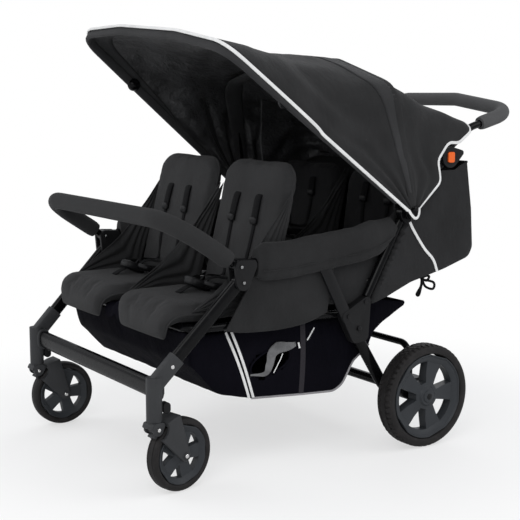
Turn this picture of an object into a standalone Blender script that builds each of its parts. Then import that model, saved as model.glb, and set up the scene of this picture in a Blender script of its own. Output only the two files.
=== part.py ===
# Four-seat stroller: two seats in front, two behind, one folding hood.
# Metres. +Z up, the front faces -Y and the stroller's left side is +X.
# The origin is on the floor, under the middle of the outline.

import math

import bmesh
import bpy
from mathutils import Matrix, Vector

# Rear wheels and their axle
REAR_WHEEL_DIAMETER = 0.260
REAR_TYRE_WIDTH = 0.052
REAR_RIM_RADIUS = 0.106
REAR_HUB_RADIUS = 0.022
REAR_WINDOW_INNER = 0.034
REAR_WINDOW_OUTER = 0.087
REAR_TRACK = 0.720
REAR_AXLE_Y = 0.2315
AXLE_TUBE_RADIUS = 0.0125
STUB_RADIUS = 0.008
STUB_END_WALL = 0.008
TREAD_BLOCKS = 15
BLOCK_SHARE = 0.72
TREAD_DEPTH = 0.0028
SPOKES = 5
SPOKE_WIDTH = 0.020

# Front casters
FRONT_WHEEL_DIAMETER = 0.167
FRONT_TYRE_WIDTH = 0.034
FRONT_TYRE_FACETS = 26
FRONT_RIM_RADIUS = 0.0675
FRONT_HUB_RADIUS = 0.015
FRONT_WINDOW_INNER = 0.022
FRONT_WINDOW_OUTER = 0.056
WHEEL_BOLT_RADIUS = 0.0045
STEM_X = 0.326
STEM_Y = -0.5115
STEM_TOP = 0.270
STEM_RADIUS = 0.0178
HOUSING_BOTTOM = 0.1715
CASTER_TRAIL = 0.069
LEFT_CASTER_TURN = math.radians(10.8)
ARM_PIVOT_Y = -0.002
ARM_PIVOT_Z = 0.155
ARM_HALF_WIDTH = 0.026
ARM_PIN_RADIUS = 0.0042
ARM_EYE_RADIUS = 0.0095
LUG_HALF_GAP = 0.0125
LUG_THICK = 0.0055
LUG_RADIUS = 0.0140
NECK_HEIGHT = 0.0030
NECK_RADIUS = 0.0168
GUARD_THICK = 0.0085
GUARD_GAP = 0.0050
COLLAR_LENGTH = 0.010
COLLAR_WALL = 0.004
LUG_CORNER = 0.008
APRON_RADIUS = 0.0035
HEAD_PROUD = 0.0022
WHEEL_BOLT_HEAD = 0.0075
WELL_ROOM = 0.0015
HUB_BOSS_RADIUS = 0.0145
LOCK_RADIUS = 0.0095
LOCK_BOTTOM = 0.195
LOCK_TOP = 0.202
LOCK_HALF_WIDTH = 0.009
AXLE_HEIGHT = 0.240
AXLE_SETBACK = 0.010
AXLE_HALF_HEIGHT = 0.0215
AXLE_HALF_DEPTH = 0.0125
SOCKET_WALL = 0.0030

# Legs
LEG_HALF_DEPTH = 0.0165
LEG_HALF_WIDTH = 0.0100
LEG_PIVOT = (-0.300, 0.462)
LEG_SOCKET_SHARE = 0.25
REAR_LEG_X = 0.3198
REAR_WHEEL_ROOM = 0.007
REAR_LEG_HALF_WIDTH = 0.0090
REAR_LEG_HALF_DEPTH = 0.0145
REAR_LEG_KNEE = (0.145, 0.152)
BRACKET_RADIUS = 0.0240
BRACKET_HALF_WIDTH = 0.019
BRACKET_NOSE = (-0.020, 0.004, 0.018)
LEG_EYE_RADIUS = 0.020
PEDAL_COLLAR_WALL = 0.008
PEDAL_BRACKET_ROOM = 0.027
PEDAL_COLLAR_LENGTH = 0.037
PEDAL_OVERHANG = 0.010
PEDAL_SETBACK = 0.016
PEDAL_RISE = 0.006
PEDAL_SIZE = (0.057, 0.066, 0.010)
STAY_HEIGHT = 0.250
STAY_RADIUS = 0.0085

# Frame sides
SIDE_X = 0.340
TUBE_RADIUS = 0.011
THIN_TUBE_RADIUS = 0.0095
PIN_RADIUS = 0.0050
BUMPER_PIVOT = (-0.306, 0.498)
PLATE_PIVOT = (0.034, 0.320)
PLATE_HALF_THICK = 0.011
PLATE_STRUT_CORNER = (-0.004, 0.352)
PLATE_TUBE_CORNER = (0.057, 0.383)
PLATE_CORNER_RADIUS = 0.012
STRUT_X = 0.3455
STRUT_HALF_THICK = 0.0045
STRUT_HALF_WIDTH = 0.0155
STRUT_TOP = (-0.078, 0.4965)
RIVET_RADIUS = 0.0055
RIVET_PROUD = 0.0025
HOOD_PIVOT = (0.174, 0.589)
HUB_RADIUS = 0.022
HUB_FACE_X = 0.3603
CAP_X = 0.3792
CAP_THICK = 0.0043
CAP_RADIUS = 0.0120
CAP_PIN_PROUD = 0.002
HANDLE_PIVOT = (0.312, 0.722)
CHEEK_THICK = 0.0087
CHEEK_LOWER_RADIUS = 0.0185
CHEEK_UPPER_RADIUS = 0.0155
EYE_HALF_WIDTH = 0.0105
RAIL_FRONT_Y = -0.2637
RAIL_FRONT_Z = 0.502
RAIL_ROUTE = ((-0.17, 0.502), (0.03, 0.522), (0.115, 0.542))
SEAT_TUBE_Z = 0.3603
SEAT_TUBE_FRONT_Y = -0.415
CROSS_TUBE_Z = 0.4262

# Push handle
HANDLE_X = 0.3165
GRIP_RADIUS = 0.0180
GRIP_START = 0.158
HANDLE_REAR_Y = 0.561
HANDLE_REAR_Z = 0.833
HANDLE_ARCH = 0.030
HANDLE_BEND = 0.065
KNUCKLE_RADIUS = 0.0225
DRUM_RADIUS = 0.0262
DRUM_INNER_X = 0.3270
DRUM_OUTER_X = 0.3575
BUTTON_HEIGHT = 0.026
BUTTON_WIDTH = 0.020
BUTTON_PROUD = 0.0040
BUTTON_DEPTH = 0.0090
BUTTON_ROOM = 0.0040
BUTTON_CORNER = 0.004
KNUCKLE_INNER_X = 0.3075
HANDLE_PIN_RADIUS = 0.006
HANDLE_PIN_X = (0.3200, 0.3445)
HANDLE_PIN_ROOM = 0.0004
DRUM_TAB = (0.036, 0.010, 0.007)

# Bumper bar
BUMPER_FRONT_Y = -0.470
BUMPER_TOP_Z = 0.607
BUMPER_CORNER = 0.095
BUMPER_FOAM_RADIUS = 0.021
BUMPER_BARE_LENGTH = 0.048
BUMPER_EYE_RADIUS = 0.0145

# Hood
BOW_HALF_DEPTH = 0.0075
BOW_HALF_THICK = 0.0043
BOW_EYE_RADIUS = 0.0130
FRONT_BOW_X = 0.3742
MID_BOW_X = 0.3650
BOW_TAPER = 0.012
FRONT_BOW_REACH = 0.661
FRONT_BOW_ANGLE = math.radians(141.4)
MID_BOW_REACH = 0.310
MID_BOW_ANGLE = math.radians(100.5)
FRONT_ARCH = 0.020
MID_ARCH = 0.060
HOOD_CORNER = 0.085
HOOD_RACK = 0.030
HOOD_COLUMNS = 29
FABRIC = 0.003
FABRIC_START = 0.022
CLOTH_RISE = 0.0148
STUD_SHARE = 0.71

# Seats
SEAT_INNER_X = 0.014
SEAT_OUTER_X = 0.318
CUSHION_THICK = 0.046
BACK_THICK = 0.040
SEAM_GAP = 0.0008
FRONT_CUSHION_ROUTE = ((-0.450, 0.330), (-0.450, 0.3930), (-0.200, 0.3935))
FRONT_BACK_TOP = (-0.118, 0.722)
REAR_CUSHION_ROUTE = ((-0.012, 0.392), (-0.008, 0.4575), (0.232, 0.4620))
REAR_BACK_TOP = (0.268, 0.690)
STRAP_HALF_WIDTH = 0.0095
STRAP_HALF_THICK = 0.0012
BUCKLE_PLACE = (-0.318, 0.462)
BUCKLE_HALF = (0.020, 0.008, 0.022)
CROTCH_ROOT = (-0.3200, 0.4168)
PAD_CROWN_LOSS = 0.16

# Basket, rear tub and side covers
BASKET_ROOM = 0.008
TUB_X = 0.3543
COVER_X = 0.3355
COVER_FRONT_CUT = 0.006
COVER_REAR_CUT = 0.040
COVER_HALF_WIDTH = 0.0205
COVER_HALF_HEIGHT = 0.044
SHEET = 0.003

# Working gaps
REST_GAP = 0.0003
RUN_GAP = 0.0005

REAR_WHEEL_RADIUS = REAR_WHEEL_DIAMETER / 2
FRONT_WHEEL_RADIUS = FRONT_WHEEL_DIAMETER / 2
REAR_WHEEL_X = REAR_TRACK / 2
REAR_LEG_FOOT_X = REAR_WHEEL_X - REAR_TYRE_WIDTH / 2 - REAR_WHEEL_ROOM - BRACKET_HALF_WIDTH
BASKET_X = REAR_LEG_FOOT_X - BASKET_ROOM
REAR_AXLE = (REAR_AXLE_Y, REAR_WHEEL_RADIUS)
CASTER_HUB = (CASTER_TRAIL, FRONT_WHEEL_RADIUS)
ARM_PIVOT = (ARM_PIVOT_Y, ARM_PIVOT_Z)
FORK_TOP = HOUSING_BOTTOM - REST_GAP
PIN_BORE = PIN_RADIUS + REST_GAP


def clear_scene():
    for obj in list(bpy.data.objects):
        bpy.data.objects.remove(obj, do_unlink=True)


def finish(name, colour, roughness, metallic=0.0):
    found = bpy.data.materials.get(name)
    if found:
        return found
    material = bpy.data.materials.new(name)
    material.use_nodes = True
    shader = material.node_tree.nodes["Principled BSDF"]
    shader.inputs["Base Color"].default_value = (*colour, 1.0)
    shader.inputs["Roughness"].default_value = roughness
    shader.inputs["Metallic"].default_value = metallic
    return material


def black_tube():
    return finish("black_tube", (0.012, 0.012, 0.013), 0.30)


def grey_plastic():
    return finish("grey_plastic", (0.045, 0.046, 0.048), 0.55)


def black_plastic():
    return finish("black_plastic", (0.018, 0.018, 0.019), 0.50)


def rim_plastic():
    return finish("rim_plastic", (0.050, 0.060, 0.064), 0.50)


def tyre_rubber():
    return finish("tyre_rubber", (0.016, 0.014, 0.013), 0.75)


def button_plastic():
    return finish("button_plastic", (0.83, 0.16, 0.03), 0.40)


def bar_foam():
    return finish("bar_foam", (0.030, 0.030, 0.031), 0.85)


def grip_foam():
    return finish("grip_foam", (0.055, 0.055, 0.057), 0.85)


def seat_fabric():
    return finish("seat_fabric", (0.026, 0.027, 0.028), 0.90)


def basket_fabric():
    return finish("basket_fabric", (0.009, 0.009, 0.014), 0.80)


def harness_web():
    return finish("harness_web", (0.008, 0.008, 0.009), 0.70)


def face_out(bm):
    bmesh.ops.recalc_face_normals(bm, faces=bm.faces)
    if bm.calc_volume(signed=True) < 0:
        bmesh.ops.reverse_faces(bm, faces=bm.faces)


def add_object(name, bm, material, origin=(0.0, 0.0, 0.0), parent=None, smooth=35.0):
    """The mesh is built in the parent's frame, and moved so that its own origin lies at origin."""
    face_out(bm)
    bmesh.ops.translate(bm, verts=bm.verts, vec=-Vector(origin))
    mesh = bpy.data.meshes.new(name)
    bm.to_mesh(mesh)
    bm.free()
    mesh.shade_smooth()
    mesh.set_sharp_from_angle(angle=math.radians(smooth))
    obj = bpy.data.objects.new(name, mesh)
    obj.data.materials.append(material)
    obj.location = origin
    obj.parent = parent
    bpy.context.scene.collection.objects.link(obj)
    return obj


def add_pivot(name, location, turn=0.0):
    pivot = bpy.data.objects.new(name, None)
    pivot.location = location
    pivot.rotation_euler = (0.0, 0.0, turn)
    bpy.context.scene.collection.objects.link(pivot)
    return pivot


def combine(base, others, operation):
    """One Boolean after another on bmeshes, each result read back from a helper object."""
    for other in others:
        objects = []
        for bm in (base, other):
            face_out(bm)
            mesh = bpy.data.meshes.new("helper")
            bm.to_mesh(mesh)
            bm.free()
            helper = bpy.data.objects.new("helper", mesh)
            bpy.context.scene.collection.objects.link(helper)
            objects.append(helper)
        modifier = objects[0].modifiers.new("combine", "BOOLEAN")
        modifier.object = objects[1]
        modifier.operation = operation
        modifier.solver = "EXACT"
        graph = bpy.context.evaluated_depsgraph_get()
        result = bpy.data.meshes.new_from_object(objects[0].evaluated_get(graph))
        base = bmesh.new()
        base.from_mesh(result)
        bmesh.ops.dissolve_degenerate(base, dist=2e-6, edges=base.edges)
        for helper in objects:
            bpy.data.objects.remove(helper, do_unlink=True)
    return base


def unite(base, *others):
    return combine(base, others, "UNION")


def cut(base, *others):
    return combine(base, others, "DIFFERENCE")


def side_name(side, name):
    return ("left_" if side > 0 else "right_") + name


def yz(point, x=0.0):
    return Vector((x, point[0], point[1]))


def rounded(points, radius, steps=4):
    """A polyline whose corners become arcs of one radius, with steps counted for a square corner."""
    points = [Vector(p) for p in points]
    route = [points[0]]
    for before, corner, after in zip(points, points[1:], points[2:]):
        to_before = (before - corner).normalized()
        to_after = (after - corner).normalized()
        half = to_before.angle(to_after) / 2
        reach = min(radius / math.tan(half), 0.48 * (before - corner).length, 0.48 * (after - corner).length)
        centre = corner + (to_before + to_after).normalized() * (reach / math.cos(half))
        start = corner + to_before * reach - centre
        end = corner + to_after * reach - centre
        sweep = start.angle(end)
        count = max(1, round(steps * sweep / math.radians(90)))
        for step in range(count + 1):
            share = step / count
            mix = start * math.sin((1 - share) * sweep) + end * math.sin(share * sweep)
            route.append(centre + mix / math.sin(sweep))
    route.append(points[-1])
    return route


def resampled(route, count):
    """The same polyline as count points at even distances."""
    lengths = [0.0]
    for a, b in zip(route, route[1:]):
        lengths.append(lengths[-1] + (b - a).length)
    found = []
    leg = 0
    for index in range(count):
        along = lengths[-1] * index / (count - 1)
        while leg < len(route) - 2 and lengths[leg + 1] < along:
            leg += 1
        span = lengths[leg + 1] - lengths[leg]
        share = (along - lengths[leg]) / span if span else 0.0
        found.append(route[leg].lerp(route[leg + 1], share))
    return found


def ring_frames(route, across):
    """Two directions square to the route at each of its points, carried along without twist."""
    frames = []
    first = Vector(across)
    if abs((route[1] - route[0]).normalized().dot(first)) > 0.9:
        first = Vector((0, 0, 1))
    for index, point in enumerate(route):
        before = route[max(index - 1, 0)]
        after = route[min(index + 1, len(route) - 1)]
        along = (after - before).normalized()
        first = (first - along * first.dot(along)).normalized()
        frames.append((first.copy(), along.cross(first)))
    return frames


def oval(half_a, half_b, sides, power=1.0):
    ring = []
    for index in range(sides):
        angle = 2 * math.pi * (index + 0.5) / sides
        a = math.copysign(abs(math.cos(angle)) ** power, math.cos(angle))
        b = math.copysign(abs(math.sin(angle)) ** power, math.sin(angle))
        ring.append((a * half_a, b * half_b))
    return ring


def sweep_rings(bm, route, section, across):
    rings = []
    for point, (first, second) in zip(route, ring_frames(route, across)):
        rings.append([bm.verts.new(point + first * a + second * b) for a, b in section])
    for ring, after in zip(rings, rings[1:]):
        for index in range(len(section)):
            follow = (index + 1) % len(section)
            bm.faces.new((ring[index], ring[follow], after[follow], after[index]))
    return rings


def swept(route, section, across=(1, 0, 0), bore=None):
    """A section carried along a route, with flat ends, or a sleeve where a bore is given."""
    bm = bmesh.new()
    outer = sweep_rings(bm, route, section, across)
    if bore is None:
        bm.faces.new(outer[0])
        bm.faces.new(outer[-1])
        return bm
    inner = sweep_rings(bm, route, bore, across)
    for end in (0, -1):
        count = len(section)
        for index in range(count):
            follow = (index + 1) % count
            bm.faces.new((outer[end][index], outer[end][follow], inner[end][follow], inner[end][index]))
    return bm


def round_tube(route, radius, sides=12):
    return swept(route, oval(radius, radius, sides))


def turned(profile, segments=32, closed=False):
    """A profile of (radius, x) points turned round the X axis. A closed profile makes a ring."""
    bm = bmesh.new()
    verts = [bm.verts.new((x, radius, 0.0)) for radius, x in profile]
    edges = [bm.edges.new(pair) for pair in zip(verts, verts[1:])]
    if closed:
        edges.append(bm.edges.new((verts[-1], verts[0])))
    bmesh.ops.spin(
        bm, geom=verts + edges, cent=(0, 0, 0), axis=(1, 0, 0), angle=2 * math.pi, steps=segments
    )
    bmesh.ops.remove_doubles(bm, verts=bm.verts, dist=1e-6)
    return bm


def rod(radius, x_low, x_high, centre=(0.0, 0.0), segments=20):
    bm = turned([(0, x_low), (radius, x_low), (radius, x_high), (0, x_high)], segments)
    bmesh.ops.translate(bm, verts=bm.verts, vec=(0, centre[0], centre[1]))
    return bm


def plate(outline, x_low, x_high, bevel=0.0):
    """An outline of (y, z) points extruded from x_low to x_high, its long edges rounded."""
    bm = bmesh.new()
    face = bm.faces.new([bm.verts.new((x_low, y, z)) for y, z in outline])
    grown = bmesh.ops.extrude_face_region(bm, geom=[face])
    moved = [item for item in grown["geom"] if isinstance(item, bmesh.types.BMVert)]
    bmesh.ops.translate(bm, verts=moved, vec=(x_high - x_low, 0, 0))
    if bevel:
        rims = [edge for edge in bm.edges if abs(edge.verts[0].co.x - edge.verts[1].co.x) < 1e-7]
        bmesh.ops.bevel(bm, geom=rims, offset=bevel, segments=2, profile=0.5, affect="EDGES")
    return bm


def block(low, high, bevel=0.0):
    bm = plate(((low[1], low[2]), (high[1], low[2]), (high[1], high[2]), (low[1], high[2])), low[0], high[0])
    if bevel:
        bmesh.ops.bevel(bm, geom=bm.edges[:], offset=bevel, segments=2, profile=0.5, affect="EDGES")
    return bm


def arc_points(centre, radius, start, end, steps):
    found = []
    for step in range(steps + 1):
        angle = math.radians(start + (end - start) * step / steps)
        found.append((centre[0] + radius * math.cos(angle), centre[1] + radius * math.sin(angle)))
    return found


def around(circles, steps=16):
    """The outline that wraps round a few circles given as (y, z, radius)."""
    cloud = []
    for y, z, radius in circles:
        for step in range(steps):
            turn = 2 * math.pi * (step + 0.5) / steps
            cloud.append((y + radius * math.cos(turn), z + radius * math.sin(turn)))
    cloud.sort()
    sides = []
    for run in (cloud, cloud[::-1]):
        hull = []
        for point in run:
            while len(hull) > 1 and turn_of(hull[-2], hull[-1], point) <= 1e-9:
                hull.pop()
            hull.append(point)
        sides += hull[:-1]
    return sides


def turn_of(a, b, c):
    return (b[0] - a[0]) * (c[1] - a[1]) - (b[1] - a[1]) * (c[0] - a[0])


def mirrored(bm, side):
    if side < 0:
        bmesh.ops.scale(bm, verts=bm.verts, vec=(-1, 1, 1))
    return bm


def moved(bm, offset):
    bmesh.ops.translate(bm, verts=bm.verts, vec=offset)
    return bm


def eye(side_x, half_width, radius, pivot, segments=16):
    return rod(radius, side_x - half_width, side_x + half_width, pivot, segments)


def bore(radius, pivot, segments=14):
    """A cutter that goes right through the object along X."""
    return rod(radius, -0.5, 0.5, pivot, segments)


# Wheels


def spoked_rim(profile, front_gap, back_gap, closed, stations=4):
    """A turned rim with windows between its spokes.

    The profile runs over the outer face, the tyre seat and the inner face, as (radius, x).
    The windows pass from one gap of the profile to another, and the spokes keep one width.
    """
    sector = 2 * math.pi / SPOKES
    window_inner = min(profile[front_gap][0], profile[front_gap + 1][0])
    bm = bmesh.new()
    rings = []
    for radius, x in profile:
        if radius == 0:
            rings.append([bm.verts.new((x, 0, 0))] * (SPOKES * stations))
            continue
        spoke = sector / 2 / stations
        if radius >= window_inner:
            spoke = math.asin(SPOKE_WIDTH / 2 / radius)
        ring = []
        for index in range(SPOKES):
            for station in range(stations):
                share = max(0, station - 1) / (stations - 1)
                turn = index * sector + (spoke + share * (sector - 2 * spoke) if station else -spoke)
                ring.append(bm.verts.new((x, radius * math.cos(turn), radius * math.sin(turn))))
        rings.append(ring)
    if closed:
        rings.append(rings[0])
    count = SPOKES * stations
    for gap in range(len(rings) - 1):
        for index in range(count):
            if gap in (front_gap, back_gap) and index % stations:
                continue
            add_face(bm, rings[gap], rings[gap + 1], index, (index + 1) % count)
    for index in range(count):
        if index % stations == 0:
            continue
        add_face(bm, rings[front_gap], rings[back_gap + 1], index, (index + 1) % count)
        add_face(bm, rings[front_gap + 1], rings[back_gap], index, (index + 1) % count)
    for index in range(SPOKES):
        for edge in (index * stations, index * stations + 1):
            corners = (rings[front_gap], rings[front_gap + 1], rings[back_gap], rings[back_gap + 1])
            bm.faces.new([ring[edge] for ring in corners])
    return bm


def add_face(bm, ring, after, index, follow):
    corners = []
    for vert in (ring[index], ring[follow], after[follow], after[index]):
        if vert not in corners:
            corners.append(vert)
    bm.faces.new(corners)


def rear_rim():
    half = REAR_TYRE_WIDTH / 2
    hole = STUB_RADIUS + REST_GAP
    depth = half - STUB_END_WALL
    profile = (
        (0.0, half + 0.001),
        (REAR_HUB_RADIUS - 0.006, half),
        (REAR_HUB_RADIUS, half - 0.006),
        (REAR_WINDOW_INNER, half - 0.010),
        (REAR_WINDOW_OUTER, half - 0.012),
        (REAR_RIM_RADIUS, half - 0.002),
        (REAR_RIM_RADIUS, 0.002 - half),
        (REAR_WINDOW_OUTER, 0.014 - half),
        (REAR_WINDOW_INNER, 0.012 - half),
        (REAR_HUB_RADIUS, -half),
        (hole, -half),
        (hole, depth),
        (0.0, depth),
    )
    return spoked_rim(profile, 3, 7, False)


def front_rim():
    half = FRONT_TYRE_WIDTH / 2
    hole = WHEEL_BOLT_RADIUS + RUN_GAP
    profile = (
        (hole, half - 0.001),
        (FRONT_HUB_RADIUS, half - 0.001),
        (FRONT_WINDOW_INNER, half - 0.008),
        (FRONT_WINDOW_OUTER, half - 0.008),
        (FRONT_RIM_RADIUS, half - 0.002),
        (FRONT_RIM_RADIUS, 0.002 - half),
        (FRONT_WINDOW_OUTER, 0.008 - half),
        (FRONT_WINDOW_INNER, 0.008 - half),
        (FRONT_HUB_RADIUS, 0.001 - half),
        (hole, 0.001 - half),
    )
    return spoked_rim(profile, 2, 6, True)


def tyre_section(inner, outer, half):
    """Round shoulders between the bead and a flat tread, as (radius, x)."""
    height = outer - inner
    flank = [
        (inner, half * 0.78),
        (inner + height * 0.35, half),
        (outer - height * 0.20, half * 0.88),
        (outer, half * 0.52),
    ]
    return flank + [(radius, -x) for radius, x in reversed(flank)]


def front_tyre():
    """A ring of flat facets whose middles touch the tyre's circle, with one of them at the bottom."""
    facet = math.cos(math.pi / FRONT_TYRE_FACETS)
    inner = (FRONT_RIM_RADIUS + RUN_GAP) / facet
    section = tyre_section(inner, FRONT_WHEEL_RADIUS / facet, FRONT_TYRE_WIDTH / 2)
    return turned(section, FRONT_TYRE_FACETS, closed=True)


def rear_tyre():
    """The tread is a ring of flat blocks, one of them at the bottom, with a groove after each."""
    facet = math.cos(BLOCK_SHARE * math.pi / TREAD_BLOCKS)
    inner = (REAR_RIM_RADIUS + RUN_GAP) / facet
    section = tyre_section(inner, REAR_WHEEL_RADIUS / facet, REAR_TYRE_WIDTH / 2)
    first = 0.75 * TREAD_BLOCKS % 1 - BLOCK_SHARE / 2
    tread_from = REAR_WHEEL_RADIUS - 0.012
    bm = bmesh.new()
    rings = []
    for block_index in range(TREAD_BLOCKS):
        for mark, depth in ((0.0, 0.0), (BLOCK_SHARE, 0.0), (BLOCK_SHARE / 2 + 0.5, TREAD_DEPTH)):
            turn = 2 * math.pi * (block_index + first + mark) / TREAD_BLOCKS
            ring = []
            for radius, x in section:
                reach = radius - depth if radius > tread_from else radius
                ring.append(bm.verts.new((x, reach * math.cos(turn), reach * math.sin(turn))))
            rings.append(ring)
    for ring, after in zip(rings, rings[1:] + rings[:1]):
        for index in range(len(section)):
            add_face(bm, ring, after, index, (index + 1) % len(section))
    return bm


def add_rear_wheels():
    for side in (1, -1):
        centre = (side * REAR_WHEEL_X, REAR_AXLE_Y, REAR_WHEEL_RADIUS)
        for name, bm, material in (
            ("rear_rim", rear_rim(), rim_plastic()),
            ("rear_tyre", rear_tyre(), tyre_rubber()),
        ):
            obj = add_object(side_name(side, name), mirrored(bm, side), material)
            obj.location = centre


# Front casters, each built round its swivel axis at the floor


def caster_fork():
    """The swivelling head: a short neck over two lugs, with the pin that the arm hangs on."""
    low = FORK_TOP - 0.001
    corners = ((-LUG_CORNER, low - LUG_CORNER, LUG_CORNER), (LUG_CORNER, low - LUG_CORNER, LUG_CORNER))
    outline = around(((*ARM_PIVOT, LUG_RADIUS), *corners), 12)
    lug_low = LUG_HALF_GAP
    lug_high = LUG_HALF_GAP + LUG_THICK
    neck = round_tube([Vector((0, 0, FORK_TOP - NECK_HEIGHT)), Vector((0, 0, FORK_TOP))], NECK_RADIUS, 16)
    front_y = ARM_PIVOT_Y - LUG_RADIUS
    ends = ((front_y - 0.0005, ARM_PIVOT_Z + 0.005), (front_y + 0.0025, FORK_TOP - 0.005))
    apron = around([(y, z, APRON_RADIUS) for y, z in ends], 8)
    front = plate(apron, RUN_GAP - lug_high, lug_high - RUN_GAP)
    left = plate(outline, lug_low, lug_high)
    right = plate(outline, -lug_high, -lug_low)
    pin = rod(ARM_PIN_RADIUS, -lug_high - HEAD_PROUD, lug_high + HEAD_PROUD, ARM_PIVOT, 12)
    return unite(neck, front, left, right, pin)


def caster_arm():
    """A guard over the tyre whose cheeks run down to the wheel bolt, on a narrow knuckle."""
    well_radius = FRONT_WHEEL_RADIUS + GUARD_GAP
    guard_radius = well_radius + GUARD_THICK
    outline = arc_points(CASTER_HUB, guard_radius, 98, 143, 4) + arc_points(CASTER_HUB, HUB_BOSS_RADIUS, 205, 395, 5)
    wide = plate(outline, -ARM_HALF_WIDTH, ARM_HALF_WIDTH)
    rims = [edge for edge in wide.edges if abs(edge.verts[0].co.x - edge.verts[1].co.x) < 1e-7]
    bmesh.ops.bevel(wide, geom=rims, offset=0.0025, segments=1, profile=0.5, affect="EDGES")
    well_half = FRONT_TYRE_WIDTH / 2 + WELL_ROOM
    well = rod(well_radius, -well_half, well_half, CASTER_HUB, 24)
    reach = math.dist(ARM_PIVOT, (LUG_RADIUS, FORK_TOP))
    wide = cut(wide, well, bore(reach + WELL_ROOM, ARM_PIVOT, 12))
    half = LUG_HALF_GAP - RUN_GAP
    outer = arc_points(CASTER_HUB, guard_radius - 0.0008, 106, 146, 4)
    inner = arc_points(CASTER_HUB, well_radius + 0.0008, 146, 106, 4)
    strap = plate(outer + inner, -half, half)
    knuckle = rod(ARM_EYE_RADIUS, -half, half, ARM_PIVOT, 12)
    head_low = ARM_HALF_WIDTH - 0.001
    head_high = ARM_HALF_WIDTH + 0.003
    bolt = rod(WHEEL_BOLT_RADIUS, -head_low, head_low, CASTER_HUB, 12)
    heads = [rod(WHEEL_BOLT_HEAD, *sorted((side * head_low, side * head_high)), CASTER_HUB, 8) for side in (1, -1)]
    arm = unite(wide, strap, knuckle, bolt, *heads)
    return cut(arm, bore(ARM_PIN_RADIUS + REST_GAP, ARM_PIVOT, 12))


def leg_line(side):
    """The straight line of a front leg, from its eye down to the axis of its caster."""
    top = yz(LEG_PIVOT, side * SIDE_X)
    drop = LEG_PIVOT[0] - STEM_Y - 0.004
    return top, Vector((side * STEM_X, STEM_Y + 0.004, LEG_PIVOT[1] - drop))


def leg_foot(side):
    top, root = leg_line(side)
    return root.lerp(top, LEG_SOCKET_SHARE)


def caster_housing(side):
    """The fixed cylinder of a caster, with the angled leg socket and the axle tube's collar."""
    low = Vector((side * STEM_X, STEM_Y, HOUSING_BOTTOM))
    high = Vector((side * STEM_X, STEM_Y, STEM_TOP))
    stem = round_tube([low, high], STEM_RADIUS, 20)
    section = oval(LEG_HALF_DEPTH + SOCKET_WALL, LEG_HALF_WIDTH + SOCKET_WALL, 12, 0.6)
    socket = swept([leg_line(side)[1], leg_foot(side)], section, across=(0, 0, 1))
    start = Vector((side * STEM_X, STEM_Y + AXLE_SETBACK, AXLE_HEIGHT))
    end = Vector((side * (STEM_X - STEM_RADIUS - COLLAR_LENGTH), STEM_Y + AXLE_SETBACK, AXLE_HEIGHT))
    section = oval(AXLE_HALF_HEIGHT + COLLAR_WALL, AXLE_HALF_DEPTH + COLLAR_WALL, 12, 0.7)
    collar = cut(swept([start, end], section, across=(0, 0, 1)), lock_shape(side, REST_GAP))
    return unite(stem, socket, collar)


def lock_shape(side, room=0.0):
    """The lock's body, and with room the pocket that it has where the collar comes down to it."""
    y = STEM_Y + STEM_RADIUS + REST_GAP + LOCK_RADIUS
    shape = around(((y, LOCK_BOTTOM, LOCK_RADIUS + room), (y, LOCK_TOP, LOCK_RADIUS + room)), 12)
    half = LOCK_HALF_WIDTH + room
    return moved(plate(shape, -half, half), (side * STEM_X, 0, 0))


def swivel_lock(side):
    """The small cup behind the stem that stops the caster from turning."""
    return lock_shape(side)


def add_casters():
    for side in (1, -1):
        turn = LEFT_CASTER_TURN if side > 0 else 0.0
        swivel = add_pivot(side_name(side, "caster_pivot"), (side * STEM_X, STEM_Y, 0.0), turn)
        add_object(side_name(side, "caster_fork"), caster_fork(), grey_plastic(), parent=swivel)
        add_object(side_name(side, "caster_arm"), caster_arm(), grey_plastic(), yz(ARM_PIVOT), swivel)
        for name, bm, material in (
            ("front_rim", front_rim(), rim_plastic()),
            ("front_tyre", front_tyre(), tyre_rubber()),
        ):
            wheel = add_object(side_name(side, name), bm, material, parent=swivel)
            wheel.location = yz(CASTER_HUB)
        add_object(side_name(side, "caster_housing"), caster_housing(side), grey_plastic())
        add_object(side_name(side, "swivel_lock"), swivel_lock(side), black_plastic())


# Legs and axles


def front_leg(side):
    """A flat oval tube from its eye at the armrest down to the caster's socket."""
    top = leg_line(side)[0]
    foot = leg_foot(side)
    slope = (top - foot).normalized()
    section = oval(LEG_HALF_WIDTH, LEG_HALF_DEPTH, 12, 0.8)
    tube = swept([foot + slope * REST_GAP, top - slope * 0.010], section)
    knuckle = eye(side * SIDE_X, EYE_HALF_WIDTH, LEG_HALF_DEPTH + 0.0007, LEG_PIVOT)
    return cut(unite(tube, knuckle), bore_at(side * SIDE_X, PIN_BORE, LEG_PIVOT))


def bore_at(x, radius, pivot, segments=14):
    return rod(radius, x - 0.03, x + 0.03, pivot, segments)


def front_axle_tube():
    reach = STEM_X - STEM_RADIUS - COLLAR_LENGTH - REST_GAP
    y = STEM_Y + AXLE_SETBACK
    route = [Vector((-reach, y, AXLE_HEIGHT)), Vector((reach, y, AXLE_HEIGHT))]
    return swept(route, oval(AXLE_HALF_HEIGHT, AXLE_HALF_DEPTH, 16, 0.7), across=(0, 0, 1))


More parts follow.
